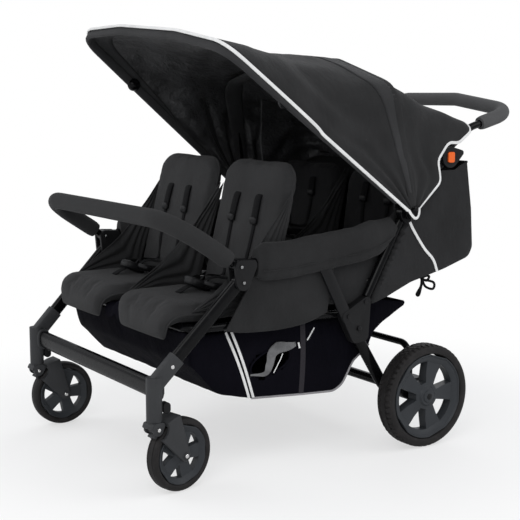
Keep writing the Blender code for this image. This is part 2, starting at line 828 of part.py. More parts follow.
def rear_leg(side):
    """From its eye beside the fold plate, down and inwards to the bracket round the axle."""
    top = yz(PLATE_PIVOT, side * REAR_LEG_X)
    axle = yz(REAR_AXLE, side * REAR_LEG_FOOT_X)
    knee = yz(REAR_LEG_KNEE, side * (REAR_LEG_FOOT_X + 0.004))
    section = oval(REAR_LEG_HALF_WIDTH, REAR_LEG_HALF_DEPTH, 10, 0.8)
    tube = swept(rounded([top, knee, axle], 0.05, 3), section)
    eye_half = SIDE_X - PLATE_HALF_THICK - RUN_GAP - REAR_LEG_X
    knuckle = eye(side * REAR_LEG_X, eye_half, LEG_EYE_RADIUS, PLATE_PIVOT)
    upper = (REAR_AXLE_Y + BRACKET_NOSE[0], REAR_WHEEL_RADIUS + BRACKET_NOSE[1], BRACKET_NOSE[2])
    low, high = sorted(side * (REAR_LEG_FOOT_X + hand * BRACKET_HALF_WIDTH) for hand in (1, -1))
    bracket = plate(around(((*REAR_AXLE, BRACKET_RADIUS), upper)), low, high)
    head = side * (SIDE_X + PLATE_HALF_THICK + 0.003)
    pin = rod(PIN_RADIUS, *sorted((side * REAR_LEG_X, head)), PLATE_PIVOT, 12)
    leg = unite(tube, knuckle, bracket, pin)
    return cut(leg, bore_at(side * REAR_LEG_FOOT_X, AXLE_TUBE_RADIUS + REST_GAP, REAR_AXLE, 20))


def rear_axle():
    """The tube between the legs, with a stub at each end that the wheel turns on."""
    shoulder = REAR_LEG_FOOT_X + BRACKET_HALF_WIDTH + 0.0015
    end = REAR_WHEEL_X + REAR_TYRE_WIDTH / 2 - STUB_END_WALL - RUN_GAP
    profile = (
        (0, -end),
        (STUB_RADIUS, -end),
        (STUB_RADIUS, -shoulder),
        (AXLE_TUBE_RADIUS, -shoulder),
        (AXLE_TUBE_RADIUS, shoulder),
        (STUB_RADIUS, shoulder),
        (STUB_RADIUS, end),
        (0, end),
    )
    return moved(turned(profile, 20), yz(REAR_AXLE))


def rear_stay():
    """The tube that stands on the axle brackets and crosses above the axle."""
    foot = REAR_WHEEL_RADIUS + BRACKET_RADIUS + REST_GAP
    x = REAR_LEG_FOOT_X
    ends = ((-x, foot), (-x, STAY_HEIGHT), (x, STAY_HEIGHT), (x, foot))
    return round_tube(rounded([Vector((x, REAR_AXLE_Y, z)) for x, z in ends], 0.035), STAY_RADIUS, 10)


def brake_pedal():
    """A collar round the axle with the tread that a foot presses."""
    outer = REAR_LEG_FOOT_X - BRACKET_HALF_WIDTH - PEDAL_BRACKET_ROOM
    inner = outer - PEDAL_COLLAR_LENGTH
    collar = rod(AXLE_TUBE_RADIUS + PEDAL_COLLAR_WALL, inner, outer, REAR_AXLE, 20)
    low = Vector((inner - PEDAL_OVERHANG, REAR_AXLE_Y + PEDAL_SETBACK, REAR_WHEEL_RADIUS + PEDAL_RISE))
    pad = block(low, low + Vector(PEDAL_SIZE))
    return cut(unite(collar, pad), bore(AXLE_TUBE_RADIUS + REST_GAP, REAR_AXLE, 20))


def add_legs():
    for side in (1, -1):
        add_object(side_name(side, "front_leg"), front_leg(side), black_tube(), yz(LEG_PIVOT, side * SIDE_X))
        pivot = yz(PLATE_PIVOT, side * REAR_LEG_X)
        add_object(side_name(side, "rear_leg"), rear_leg(side), black_tube(), pivot)
    add_object("front_axle_tube", front_axle_tube(), black_tube())
    add_object("rear_axle", rear_axle(), black_tube(), yz(REAR_AXLE))
    add_object("rear_stay", rear_stay(), black_tube())
    add_object("brake_pedal", brake_pedal(), black_plastic(), yz(REAR_AXLE))


# Frame sides


def strut_route(side):
    """From the fold plate up to the underside of the rail."""
    foot = yz(PLATE_STRUT_CORNER, side * STRUT_X) + Vector((0, 0.006, -0.007))
    return [foot, yz(STRUT_TOP, side * STRUT_X)]


def fold_plate(side):
    """The moulded joint plate in the middle of a side, with the flat strut that rises from it."""
    low = side * SIDE_X - PLATE_HALF_THICK
    high = side * SIDE_X + PLATE_HALF_THICK
    corners = ((*PLATE_STRUT_CORNER, PLATE_CORNER_RADIUS), (*PLATE_TUBE_CORNER, PLATE_CORNER_RADIUS))
    y, z = PLATE_PIVOT
    body = plate(around((*corners, (y + 0.016, z - 0.020, 0.013), (y - 0.008, z - 0.022, 0.014))), low, high)
    strut = swept(strut_route(side), oval(STRUT_HALF_THICK, STRUT_HALF_WIDTH, 8, 0.5))
    outer = side * (SIDE_X + PLATE_HALF_THICK + RIVET_PROUD)
    rivets = [
        rod(RIVET_RADIUS, *sorted((side * SIDE_X, outer)), (y + inset, z), 10)
        for (y, z), inset in ((PLATE_STRUT_CORNER, 0.006), (PLATE_TUBE_CORNER, -0.004))
    ]
    made = cut(unite(body, strut), round_tube(rail_route(side), TUBE_RADIUS + REST_GAP, 12))
    return cut(unite(made, *rivets), bore_at(side * SIDE_X, PIN_BORE, PLATE_PIVOT))


def pusher_route(side):
    hub = Vector(HOOD_PIVOT)
    corner = Vector(PLATE_TUBE_CORNER)
    start = corner + (hub - corner).normalized() * (PLATE_CORNER_RADIUS + REST_GAP)
    drum = Vector(HANDLE_PIVOT)
    top = drum + (hub - drum).normalized() * (DRUM_RADIUS - 0.006)
    return rounded([yz(p, side * SIDE_X) for p in (start, hub, top)], 0.30)


def pusher_tube(side):
    """The main side tube from the fold plate up past the hood hub to the handle hinge."""
    disc = rod(HUB_RADIUS, *sorted((side * SIDE_X, side * HUB_FACE_X)), HOOD_PIVOT, 18)
    pin = rod(PIN_RADIUS, *sorted((side * SIDE_X, side * (CAP_X + CAP_PIN_PROUD))), HOOD_PIVOT, 12)
    cap = rod(CAP_RADIUS, *sorted((side * CAP_X, side * (CAP_X + CAP_THICK))), HOOD_PIVOT, 14)
    return unite(round_tube(pusher_route(side), TUBE_RADIUS, 12), disc, pin, cap)


def rail_route(side):
    points = [(RAIL_FRONT_Y, RAIL_FRONT_Z), *RAIL_ROUTE, HOOD_PIVOT]
    return rounded([yz(p, side * SIDE_X) for p in points], 0.20)


def side_rail(side):
    """The tube along the top of a side, coped where it meets the main side tube."""
    route = rail_route(side)
    direction = (route[-2] - route[-1]).normalized()
    route[-1] += direction * TUBE_RADIUS * 0.9
    disc = rod(HUB_RADIUS + REST_GAP, *sorted((side * (SIDE_X - 0.001), side * 0.37)), HOOD_PIVOT, 20)
    rail = round_tube(route, TUBE_RADIUS, 12)
    return cut(rail, round_tube(pusher_route(side), TUBE_RADIUS + REST_GAP, 12), disc)


def arm_joint(side):
    """A clevis with one pin for the front leg and one for the bumper bar."""
    centre = side * SIDE_X
    half = EYE_HALF_WIDTH + RUN_GAP
    tail = (RAIL_FRONT_Y - 0.012, RAIL_FRONT_Z - 0.002, 0.0115)
    shape = around(((*LEG_PIVOT, CHEEK_LOWER_RADIUS), (*BUMPER_PIVOT, CHEEK_UPPER_RADIUS), tail), 12)
    outer = plate(shape, centre + half, centre + half + CHEEK_THICK)
    inner = plate(shape, centre - half - CHEEK_THICK, centre - half)
    low = (centre - half - 0.001, RAIL_FRONT_Y - 0.020, RAIL_FRONT_Z - 0.012)
    high = (centre + half + 0.001, RAIL_FRONT_Y - REST_GAP, RAIL_FRONT_Z + 0.008)
    reach = half + CHEEK_THICK + HEAD_PROUD
    pins = [rod(PIN_RADIUS, centre - reach, centre + reach, place, 8) for place in (LEG_PIVOT, BUMPER_PIVOT)]
    return unite(outer, inner, block(low, high), *pins)


def seat_tube():
    """The tube under the front seats, held between the two fold plates."""
    x = SIDE_X - PLATE_HALF_THICK - REST_GAP - THIN_TUBE_RADIUS
    start = Vector((x, PLATE_STRUT_CORNER[0] + 0.008, PLATE_STRUT_CORNER[1] + 0.002))
    half = [start, Vector((x, -0.100, SEAT_TUBE_Z - 0.003)), Vector((x, SEAT_TUBE_FRONT_Y, SEAT_TUBE_Z))]
    other = [Vector((-p.x, p.y, p.z)) for p in reversed(half)]
    return round_tube(rounded(half + other, 0.05, 4), THIN_TUBE_RADIUS, 9)


def cross_tube():
    """The tube between the two main side tubes, under the rear seats."""
    x = SIDE_X - TUBE_RADIUS - REST_GAP
    share = (CROSS_TUBE_Z - PLATE_TUBE_CORNER[1]) / (HOOD_PIVOT[1] - PLATE_TUBE_CORNER[1])
    y = PLATE_TUBE_CORNER[0] + share * (HOOD_PIVOT[0] - PLATE_TUBE_CORNER[0])
    return round_tube([Vector((-x, y, CROSS_TUBE_Z)), Vector((x, y, CROSS_TUBE_Z))], THIN_TUBE_RADIUS, 12)


def add_frame():
    for side in (1, -1):
        add_object(side_name(side, "fold_plate"), fold_plate(side), black_plastic())
        add_object(side_name(side, "pusher_tube"), pusher_tube(side), black_tube())
        add_object(side_name(side, "side_rail"), side_rail(side), black_tube())
        add_object(side_name(side, "arm_joint"), arm_joint(side), black_plastic())
    add_object("seat_tube", seat_tube(), black_tube())
    add_object("cross_tube", cross_tube(), black_tube())


# Push handle


def button_block(low, high, slack):
    half_y = BUTTON_WIDTH / 2 + slack
    half_z = BUTTON_HEIGHT / 2 + slack
    y, z = HANDLE_PIVOT
    bm = block((low, y - half_y, z - half_z), (high, y + half_y, z + half_z))
    uprights = [edge for edge in bm.edges if abs(edge.verts[0].co.x - edge.verts[1].co.x) > 1e-5]
    bmesh.ops.bevel(bm, geom=uprights, offset=BUTTON_CORNER, segments=2, profile=0.5, affect="EDGES")
    return bm


def handle_hinge(side):
    """The drum at the top of a side tube, with a pocket for its release button."""
    low, high = sorted((side * DRUM_INNER_X, side * DRUM_OUTER_X))
    tab = (HANDLE_PIVOT[0] + DRUM_TAB[0], HANDLE_PIVOT[1] + DRUM_TAB[1], DRUM_TAB[2])
    drum = plate(around(((*HANDLE_PIVOT, DRUM_RADIUS), tab), 20), low, high)
    floor = DRUM_OUTER_X + BUTTON_PROUD - BUTTON_DEPTH - BUTTON_ROOM
    pocket = button_block(*sorted((side * floor, side * (DRUM_OUTER_X + BUTTON_DEPTH))), REST_GAP)
    ends = sorted((side * KNUCKLE_INNER_X, side * (HANDLE_PIN_X[1] + HANDLE_PIN_ROOM)))
    hole = rod(HANDLE_PIN_RADIUS + REST_GAP, *ends, HANDLE_PIVOT, 14)
    return cut(drum, pocket, hole, round_tube(pusher_route(side), TUBE_RADIUS + REST_GAP, 12))


def handle_button(side):
    outer = DRUM_OUTER_X + BUTTON_PROUD
    return button_block(*sorted((side * (outer - BUTTON_DEPTH), side * outer)), 0.0)


def handle_route():
    half = [
        yz(HANDLE_PIVOT, HANDLE_X),
        Vector((HANDLE_X, 0.414, 0.794)),
        Vector((HANDLE_X, HANDLE_REAR_Y, HANDLE_REAR_Z)),
        Vector((0.10, HANDLE_REAR_Y + 0.004, HANDLE_REAR_Z + HANDLE_ARCH)),
    ]
    other = [Vector((-p.x, p.y, p.z)) for p in reversed(half)]
    return rounded(half + other, HANDLE_BEND, 4)


def handle_tube():
    """One bent tube from hinge to hinge, with a knuckle disc and pin at each end."""
    made = round_tube(handle_route(), THIN_TUBE_RADIUS, 9)
    for side in (1, -1):
        ends = sorted((side * KNUCKLE_INNER_X, side * (DRUM_INNER_X - RUN_GAP)))
        disc = rod(KNUCKLE_RADIUS, *ends, HANDLE_PIVOT, 20)
        pin = rod(HANDLE_PIN_RADIUS, *sorted(side * x for x in HANDLE_PIN_X), HANDLE_PIVOT, 12)
        made = unite(made, disc, pin)
    return made


def trimmed(route, first, last):
    """The route without a length at its start and another at its end."""
    for length in (first, last):
        while (route[1] - route[0]).length < length:
            length -= (route[1] - route[0]).length
            route = route[1:]
        start = route[0].lerp(route[1], length / (route[1] - route[0]).length)
        route = [start, *route[1:]][::-1]
    return route


def sleeve(route, radius, sides=9):
    hole = (THIN_TUBE_RADIUS + REST_GAP) / math.cos(math.pi / sides)
    return swept(route, oval(radius, radius, sides), bore=oval(hole, hole, sides))


def handle_grip():
    return sleeve(trimmed(handle_route(), GRIP_START, GRIP_START), GRIP_RADIUS)


def add_handle():
    for side in (1, -1):
        origin = yz(HANDLE_PIVOT, side * DRUM_OUTER_X)
        add_object(side_name(side, "handle_hinge"), handle_hinge(side), black_plastic())
        add_object(side_name(side, "handle_button"), handle_button(side), button_plastic(), origin)
    add_object("handle_tube", handle_tube(), black_tube(), yz(HANDLE_PIVOT))
    add_object("handle_grip", handle_grip(), grip_foam(), yz(HANDLE_PIVOT))


# Bumper bar


def bumper_route():
    half = [yz(BUMPER_PIVOT, SIDE_X), Vector((SIDE_X, BUMPER_FRONT_Y, BUMPER_TOP_Z))]
    other = [Vector((-p.x, p.y, p.z)) for p in reversed(half)]
    return rounded(half + other, BUMPER_CORNER, 5)


def bumper_tube():
    made = round_tube(bumper_route(), THIN_TUBE_RADIUS, 9)
    for side in (1, -1):
        made = unite(made, eye(side * SIDE_X, EYE_HALF_WIDTH, BUMPER_EYE_RADIUS, BUMPER_PIVOT))
        made = cut(made, bore_at(side * SIDE_X, PIN_BORE, BUMPER_PIVOT, 12))
    return made


def add_bumper():
    add_object("bumper_tube", bumper_tube(), black_tube(), yz(BUMPER_PIVOT))
    covered = trimmed(bumper_route(), BUMPER_BARE_LENGTH, BUMPER_BARE_LENGTH)
    foam = sleeve(covered, BUMPER_FOAM_RADIUS)
    add_object("bumper_foam", foam, bar_foam(), yz(BUMPER_PIVOT))


# Hood


def racked(point):
    """The hood sits a little lower on the left, growing with the distance from its hubs."""
    reach = (yz(HOOD_PIVOT) - yz((point.y, point.z))).length / FRONT_BOW_REACH
    return Vector((point.x, point.y, point.z - HOOD_RACK * reach * point.x / FRONT_BOW_X))


def bow_route(x, reach, angle, arch, start=0.0, steps=4):
    """Up from one hub, across, and down to the other."""
    along = Vector((0, math.cos(angle), math.sin(angle)))
    hub = yz(HOOD_PIVOT)
    half = [
        hub + along * start + Vector((x, 0, 0)),
        hub + along * 0.045 + Vector((x, 0, 0)),
        hub + along * reach + Vector((x - BOW_TAPER, 0, 0)),
        hub + along * reach + Vector((0.14, 0, arch)),
    ]
    other = [Vector((-p.x, p.y, p.z)) for p in reversed(half)]
    return [racked(p) for p in rounded(half + other, HOOD_CORNER, steps)]


def hood_bow(x, reach, angle, arch):
    made = swept(bow_route(x, reach, angle, arch, steps=3), oval(BOW_HALF_THICK, BOW_HALF_DEPTH, 8, 0.8))
    for side in (1, -1):
        made = unite(made, eye(side * x, BOW_HALF_THICK, BOW_EYE_RADIUS, HOOD_PIVOT, 14))
        made = cut(made, bore_at(side * x, PIN_BORE, HOOD_PIVOT, 12))
    return made


def with_studs(bow, x, reach, angle):
    """A round stud on the inside of each side of a bow."""
    for side in (1, -1):
        ball = turned([(0, -0.012), (0.008, -0.009), (0.011, -0.002), (0.011, 0.004), (0, 0.004)], 10)
        along = Vector((0, math.cos(angle), math.sin(angle))) * reach * STUD_SHARE
        place = yz(HOOD_PIVOT) + along + Vector((side * (x - BOW_TAPER * STUD_SHARE - 0.002), 0, 0))
        bow = unite(bow, moved(mirrored(ball, side), racked(place)))
    return bow


def add_sheet(name, rows, material):
    """A sheet of cloth through rows of points."""
    bm = bmesh.new()
    grid = [[bm.verts.new(p) for p in row] for row in rows]
    for row, after in zip(grid, grid[1:]):
        for index in range(len(row) - 1):
            bm.faces.new((row[index], row[index + 1], after[index + 1], after[index]))
    obj = add_object(name, bm, material)
    thick = obj.modifiers.new("thickness", "SOLIDIFY")
    thick.thickness = FABRIC
    thick.offset = 0.0
    thick.use_even_offset = False
    return obj


def sheet_between(first, last, count, sag):
    """Rows from one edge to another, dipping between them towards the hood's inside."""
    rows = []
    inside = yz((0.05, 0.55))
    for step in range(count + 1):
        share = step / count
        row = []
        for a, b in zip(first, last):
            point = a.lerp(b, share)
            above = max(0.0, min(1.0, (point.z - HOOD_PIVOT[1] - 0.03) / 0.15))
            dip = sag * math.sin(math.pi * share) ** 2 * above
            row.append(point + (inside - point).normalized() * dip)
        rows.append(row)
    return rows


def fabric_edge(reach, angle, arch, rise, shift):
    """The line of the cloth outside a bow: beside it on the sides and above it across the top."""
    x = FRONT_BOW_X + BOW_HALF_THICK + FABRIC / 2 + 3 * REST_GAP
    across = Vector((0, math.sin(angle), -math.cos(angle))) * shift
    edge = []
    for point in resampled(bow_route(x, reach, angle, arch, FABRIC_START, 6), HOOD_COLUMNS):
        inwards = max(0.0, x - abs(point.x) - BOW_TAPER / 2) / HOOD_CORNER
        edge.append(point + across + Vector((0, 0, rise * min(1.0, inwards) ** 0.18)))
    return edge


def rear_edge():
    """From behind the hub, round the front of the handle hinge and across over the handle's tubes."""
    half = [
        Vector((0.3720, HOOD_PIVOT[0] + 0.024, HOOD_PIVOT[1] + 0.014)),
        Vector((0.3660, 0.272, 0.664)),
        Vector((0.3655, 0.261, 0.716)),
        Vector((0.3650, 0.296, 0.760)),
        Vector((0.3640, 0.330, 0.757)),
        Vector((0.3590, 0.380, 0.788)),
        Vector((0.3400, 0.374, 0.806)),
        Vector((0.1600, 0.385, 0.838)),
    ]
    other = [Vector((-p.x, p.y, p.z)) for p in reversed(half)]
    return resampled(rounded(half + other, 0.020), HOOD_COLUMNS)


def add_hood():
    hub = yz(HOOD_PIVOT)
    front = (FRONT_BOW_REACH, FRONT_BOW_ANGLE, FRONT_ARCH)
    mid = (MID_BOW_REACH, MID_BOW_ANGLE, MID_ARCH)
    front_bow = with_studs(hood_bow(FRONT_BOW_X, *front), FRONT_BOW_X, *front[:2])
    add_object("hood_front_bow", front_bow, black_tube(), hub)
    add_object("hood_mid_bow", hood_bow(MID_BOW_X, *mid), black_tube(), hub)
    front_edge = fabric_edge(*front, CLOTH_RISE, 0.0)
    front_rows = sheet_between(front_edge, fabric_edge(*mid, CLOTH_RISE, -SEAM_GAP), 5, 0.014)
    rear_rows = sheet_between(fabric_edge(*mid, CLOTH_RISE, SEAM_GAP), rear_edge(), 3, 0.008)
    add_sheet("hood_front_panel", front_rows, seat_fabric())
    add_sheet("hood_rear_panel", rear_rows, seat_fabric())


# Soft parts


def pad(x_low, x_high, route, thick, across_steps=8, along_steps=9, corner=0.28, channels=()):
    """A crowned pad that follows a route in the side view: full in the middle, drawn in to a seam."""
    points = resampled(route, along_steps + 1)
    frames = ring_frames(points, (1, 0, 0))
    middle = (x_low + x_high) / 2
    half_width = (x_high - x_low) / 2
    bm = bmesh.new()
    verts = {}

    def vert(layer, row, column):
        edge = row in (0, along_steps) or column in (0, across_steps)
        key = (0 if edge else layer, row, column)
        if key not in verts:
            u = 2 * column / across_steps - 1
            v = 2 * row / along_steps - 1
            width = u * half_width * math.sqrt(1 - corner * v**6)
            height = math.sqrt(max(0.0, (1 - u**8) * (1 - v**8)))
            groove = sum(math.exp(-(((u - place) / 0.15) ** 2)) for place in channels)
            rise = (thick / 2 if layer else -thick / 2) * height * (1 - PAD_CROWN_LOSS * u * u - 0.25 * groove)
            place = points[row] + Vector((middle + width, 0, 0)) + frames[row][1] * rise
            verts[key] = bm.verts.new(place)
        return verts[key]

    for layer in (0, 1):
        for row in range(along_steps):
            for column in range(across_steps):
                corners = ((row, column), (row, column + 1), (row + 1, column + 1), (row + 1, column))
                bm.faces.new([vert(layer, *place) for place in corners])
    return bm


def add_seats():
    for row, cushion, back_top in (
        ("front", FRONT_CUSHION_ROUTE, FRONT_BACK_TOP),
        ("rear", REAR_CUSHION_ROUTE, REAR_BACK_TOP),
    ):
        base = (cushion[-1][0] + 2 * REST_GAP, cushion[-1][1] + 2 * REST_GAP)
        seat_line = rounded([yz(p) for p in cushion], 0.035, 5)
        for side in (1, -1):
            low, high = sorted((side * SEAT_INNER_X, side * SEAT_OUTER_X))
            seat = pad(low, high, seat_line, CUSHION_THICK, corner=0.12)
            add_object(side_name(side, row + "_cushion"), seat, seat_fabric(), smooth=60)
            back = pad(low, high, [yz(base), yz(back_top)], BACK_THICK, channels=(-0.5, 0.5))
            add_object(side_name(side, row + "_back"), back, seat_fabric(), yz(base), smooth=60)


def strap(route):
    section = (
        (-STRAP_HALF_WIDTH, -STRAP_HALF_THICK),
        (STRAP_HALF_WIDTH, -STRAP_HALF_THICK),
        (STRAP_HALF_WIDTH, STRAP_HALF_THICK),
        (-STRAP_HALF_WIDTH, STRAP_HALF_THICK),
    )
    return swept(route, section)


def harness(side):
    """Shoulder straps from the back's slots to the buckle, and the crotch strap below it."""
    centre = side * (SEAT_INNER_X + SEAT_OUTER_X) / 2
    buckle = yz(BUCKLE_PLACE, centre)
    made = block(buckle - Vector(BUCKLE_HALF), buckle + Vector(BUCKLE_HALF))
    for hand in (1, -1):
        slot = Vector((centre + hand * 0.046, -0.1665, 0.630))
        chest = Vector((centre + hand * 0.040, -0.205, 0.560))
        lap = Vector((centre + hand * 0.020, -0.275, 0.490))
        end = buckle + Vector((hand * 0.010, 0.002, 0.010))
        made = unite(made, strap(rounded([slot, chest, lap, end], 0.05, 3)))
    return unite(made, strap([yz(CROTCH_ROOT, centre), buckle]))


def side_cover(side):
    """The padded roll over a side's rail, with the panel that hangs below it in one piece."""
    route = trimmed(rail_route(side), COVER_FRONT_CUT, COVER_REAR_CUT)
    hole = (TUBE_RADIUS + REST_GAP) / math.cos(math.pi / 10)
    roll = swept(route, oval(COVER_HALF_WIDTH, COVER_HALF_HEIGHT, 10, 0.85), bore=oval(hole, hole, 10))
    outline = (
        (-0.250, 0.476),
        (-0.262, 0.440),
        (-0.330, 0.352),
        (-0.240, 0.343),
        (-0.130, 0.347),
        (-0.052, 0.368),
        (-0.030, 0.480),
    )
    x = side * COVER_X
    made = unite(roll, plate(outline, x - SHEET / 2, x + SHEET / 2))
    gap = 2 * REST_GAP
    strut_room = swept(strut_route(side), oval(STRUT_HALF_THICK + gap, STRUT_HALF_WIDTH + gap, 8, 0.5))
    return cut(made, strut_room, round_tube(pusher_route(side), TUBE_RADIUS + gap, 12))


def shell(outer, inner, half_width):
    """An open bag: one side outline extruded, with a smaller one taken out of it."""
    return cut(plate(outer, -half_width, half_width), plate(inner, SHEET - half_width, half_width - SHEET))


def basket():
    """A sling with sloping ends, open on top and with an access opening low on each side."""
    top = SEAT_TUBE_Z - THIN_TUBE_RADIUS - REST_GAP
    y = SEAT_TUBE_FRONT_Y
    outer = (
        (y - 0.0015, top),
        (-0.400, 0.272),
        (-0.330, 0.198),
        (-0.245, 0.176),
        (-0.106, 0.165),
        (0.000, 0.158),
        (0.028, 0.172),
        (0.060, 0.226),
        (0.108, 0.258),
        (0.122, 0.290),
        (0.150, 0.312),
        (0.222, 0.350),
        (0.218, 0.356),
        (0.128, 0.372),
        (0.060, 0.300),
        (-0.130, 0.300),
        (-0.380, 0.320),
    )
    inner = (
        (y + 0.0015, top + 0.01),
        (-0.3970, 0.2738),
        (-0.3285, 0.2011),
        (-0.2447, 0.1791),
        (-0.1059, 0.1681),
        (-0.0012, 0.1612),
        (0.0257, 0.1740),
        (0.0577, 0.2284),
        (0.1060, 0.2605),
        (0.1200, 0.2920),
        (0.1480, 0.3147),
        (0.2150, 0.3500),
        (0.2150, 0.4000),
    )
    made = shell(outer, inner, BASKET_X)
    return cut(made, plate(around(((-0.215, 0.250, 0.026), (-0.160, 0.262, 0.020)), 10), -0.4, 0.4))


def rear_tub():
    """The fabric bag behind and under the rear seats, open at the front and on top. Its sides
    reach forward under the rolls to just behind the struts."""
    outer = (
        (0.110, 0.388),
        (0.192, 0.419),
        (0.300, 0.443),
        (0.385, 0.468),
        (0.396, 0.492),
        (0.389, 0.590),
        (0.371, 0.710),
        (0.348, 0.700),
        (0.330, 0.690),
        (0.285, 0.690),
        (0.200, 0.608),
        (0.196, 0.560),
        (0.185, 0.528),
        (0.150, 0.500),
        (0.110, 0.486),
        (-0.036, 0.464),
        (-0.006, 0.404),
        (0.080, 0.402),
    )
    inner = (
        (-0.080, 0.3873),
        (0.100, 0.3873),
        (0.1911, 0.4219),
        (0.2993, 0.4459),
        (0.3830, 0.4705),
        (0.3930, 0.4925),
        (0.3860, 0.5897),
        (0.3672, 0.720),
        (0.370, 0.760),
        (-0.080, 0.760),
    )
    return shell(outer, inner, TUB_X)


def add_soft_parts():
    add_seats()
    for side in (1, -1):
        add_object(side_name(side, "harness"), harness(side), harness_web())
        add_object(side_name(side, "side_cover"), side_cover(side), seat_fabric())
    add_object("basket", basket(), basket_fabric())
    add_object("rear_tub", rear_tub(), seat_fabric())


def centre_outline():
    """Moves the whole object along Y so that the origin lies under the middle of its outline."""
    bpy.context.view_layer.update()
    ends = []
    for obj in bpy.data.objects:
        if obj.type == "MESH":
            ends += [(obj.matrix_world @ Vector(corner)).y for corner in obj.bound_box]
    for obj in bpy.data.objects:
        if obj.parent is None:
            obj.location.y -= (min(ends) + max(ends)) / 2


def build():
    clear_scene()
    add_rear_wheels()
    add_casters()
    add_legs()
    add_frame()
    add_handle()
    add_bumper()
    add_hood()
    add_soft_parts()
    centre_outline()


build()
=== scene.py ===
import math

import bmesh
import bpy
from mathutils import Matrix, Vector, noise
from mathutils.bvhtree import BVHTree


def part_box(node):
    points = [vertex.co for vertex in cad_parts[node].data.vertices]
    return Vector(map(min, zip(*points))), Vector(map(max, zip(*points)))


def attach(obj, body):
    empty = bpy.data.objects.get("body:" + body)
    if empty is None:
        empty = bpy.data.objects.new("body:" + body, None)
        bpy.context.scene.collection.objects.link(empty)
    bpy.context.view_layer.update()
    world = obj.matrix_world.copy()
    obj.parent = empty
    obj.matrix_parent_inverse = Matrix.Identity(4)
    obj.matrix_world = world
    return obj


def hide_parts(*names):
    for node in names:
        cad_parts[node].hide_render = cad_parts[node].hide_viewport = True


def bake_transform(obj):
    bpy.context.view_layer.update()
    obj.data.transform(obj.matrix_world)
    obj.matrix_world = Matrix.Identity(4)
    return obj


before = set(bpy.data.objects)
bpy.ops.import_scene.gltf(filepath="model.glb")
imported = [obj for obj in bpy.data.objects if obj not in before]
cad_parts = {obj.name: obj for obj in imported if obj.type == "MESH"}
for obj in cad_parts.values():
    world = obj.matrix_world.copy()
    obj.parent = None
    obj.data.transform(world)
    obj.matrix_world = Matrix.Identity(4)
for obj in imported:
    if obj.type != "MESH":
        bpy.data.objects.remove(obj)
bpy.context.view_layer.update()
sides = ((1, "left"), (-1, "right"))
gap = 0.0003
axleDesignY = 0.2315
axleLow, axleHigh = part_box("rear_axle")
shift = (axleLow.y + axleHigh.y) / 2 - axleDesignY  # from the drawing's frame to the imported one


# Shader expressions


class Wire:
    # one output socket: Python's operators on it add Math nodes
    def __init__(self, finish, socket):
        self.finish = finish
        self.socket = socket

    def __add__(self, other):
        return self.finish.maths("ADD", self, other)

    def __radd__(self, other):
        return self.finish.maths("ADD", other, self)

    def __sub__(self, other):
        return self.finish.maths("SUBTRACT", self, other)

    def __rsub__(self, other):
        return self.finish.maths("SUBTRACT", other, self)

    def __mul__(self, other):
        return self.finish.maths("MULTIPLY", self, other)

    def __rmul__(self, other):
        return self.finish.maths("MULTIPLY", other, self)

    def __pow__(self, other):
        return self.finish.maths("POWER", self, other)

    def sine(self):
        return self.finish.maths("SINE", self)

    def between(self, low, high):
        # 0 below low and 1 above high, smooth in between
        settings = {"interpolation_type": "SMOOTHSTEP"}
        return self.finish.node("MapRange", settings, {0: self, 1: low, 2: high})


class Finish:
    # one material with its Principled shader
    def __init__(self, name, **constants):
        self.material = bpy.data.materials.new(name)
        self.material.use_nodes = True
        self.tree = self.material.node_tree
        self.shader = self.tree.nodes["Principled BSDF"]
        for key, value in constants.items():
            self.join(value, self.shader.inputs[key.replace("_", " ")])

    def join(self, value, slot):
        if isinstance(value, Wire):
            self.tree.links.new(value.socket, slot)
        elif slot.type == "RGBA" and len(value) == 3:
            slot.default_value = (*value, 1.0)
        else:
            slot.default_value = value

    def node(self, kind, settings=None, values=None, output=0):
        made = self.tree.nodes.new("ShaderNode" + kind)
        for key, value in (settings or {}).items():
            setattr(made, key, value)
        for key, value in (values or {}).items():
            self.join(value, made.inputs[key])
        return Wire(self, made.outputs[output])

    def maths(self, operation, *values):
        return self.node("Math", {"operation": operation}, dict(enumerate(values)))

    def place(self):
        return self.node("TexCoord", output=3)

    def axes(self):
        place = self.place()
        return [self.node("SeparateXYZ", {}, {0: place}, axis) for axis in range(3)]

    def cloud(self, scale, detail=3.0, roughness=0.55, stretch=None):
        place = self.place()
        if stretch:
            place = self.node("VectorMath", {"operation": "MULTIPLY"}, {0: place, 1: stretch})
        values = {"Vector": place, "Scale": scale, "Detail": detail, "Roughness": roughness}
        return self.node("TexNoise", {}, values)

    def cells(self, scale):
        return self.node("TexVoronoi", {}, {"Vector": self.place(), "Scale": scale})

    def mixed(self, factor, first, second):
        return self.node("Mix", {"data_type": "RGBA"}, {0: factor, 6: first, 7: second}, 2)

    def bumped(self, height, strength, distance, under=None):
        values = {"Height": height, "Strength": strength, "Distance": distance}
        if under:
            values["Normal"] = under
        return self.node("Bump", {}, values)

    def dress(self, **links):
        for key, value in links.items():
            self.join(value, self.shader.inputs[key.replace("_", " ")])
        return self.material


def scaled(colour, factor):
    return tuple(min(1.0, channel * factor) for channel in colour)


# Finishes


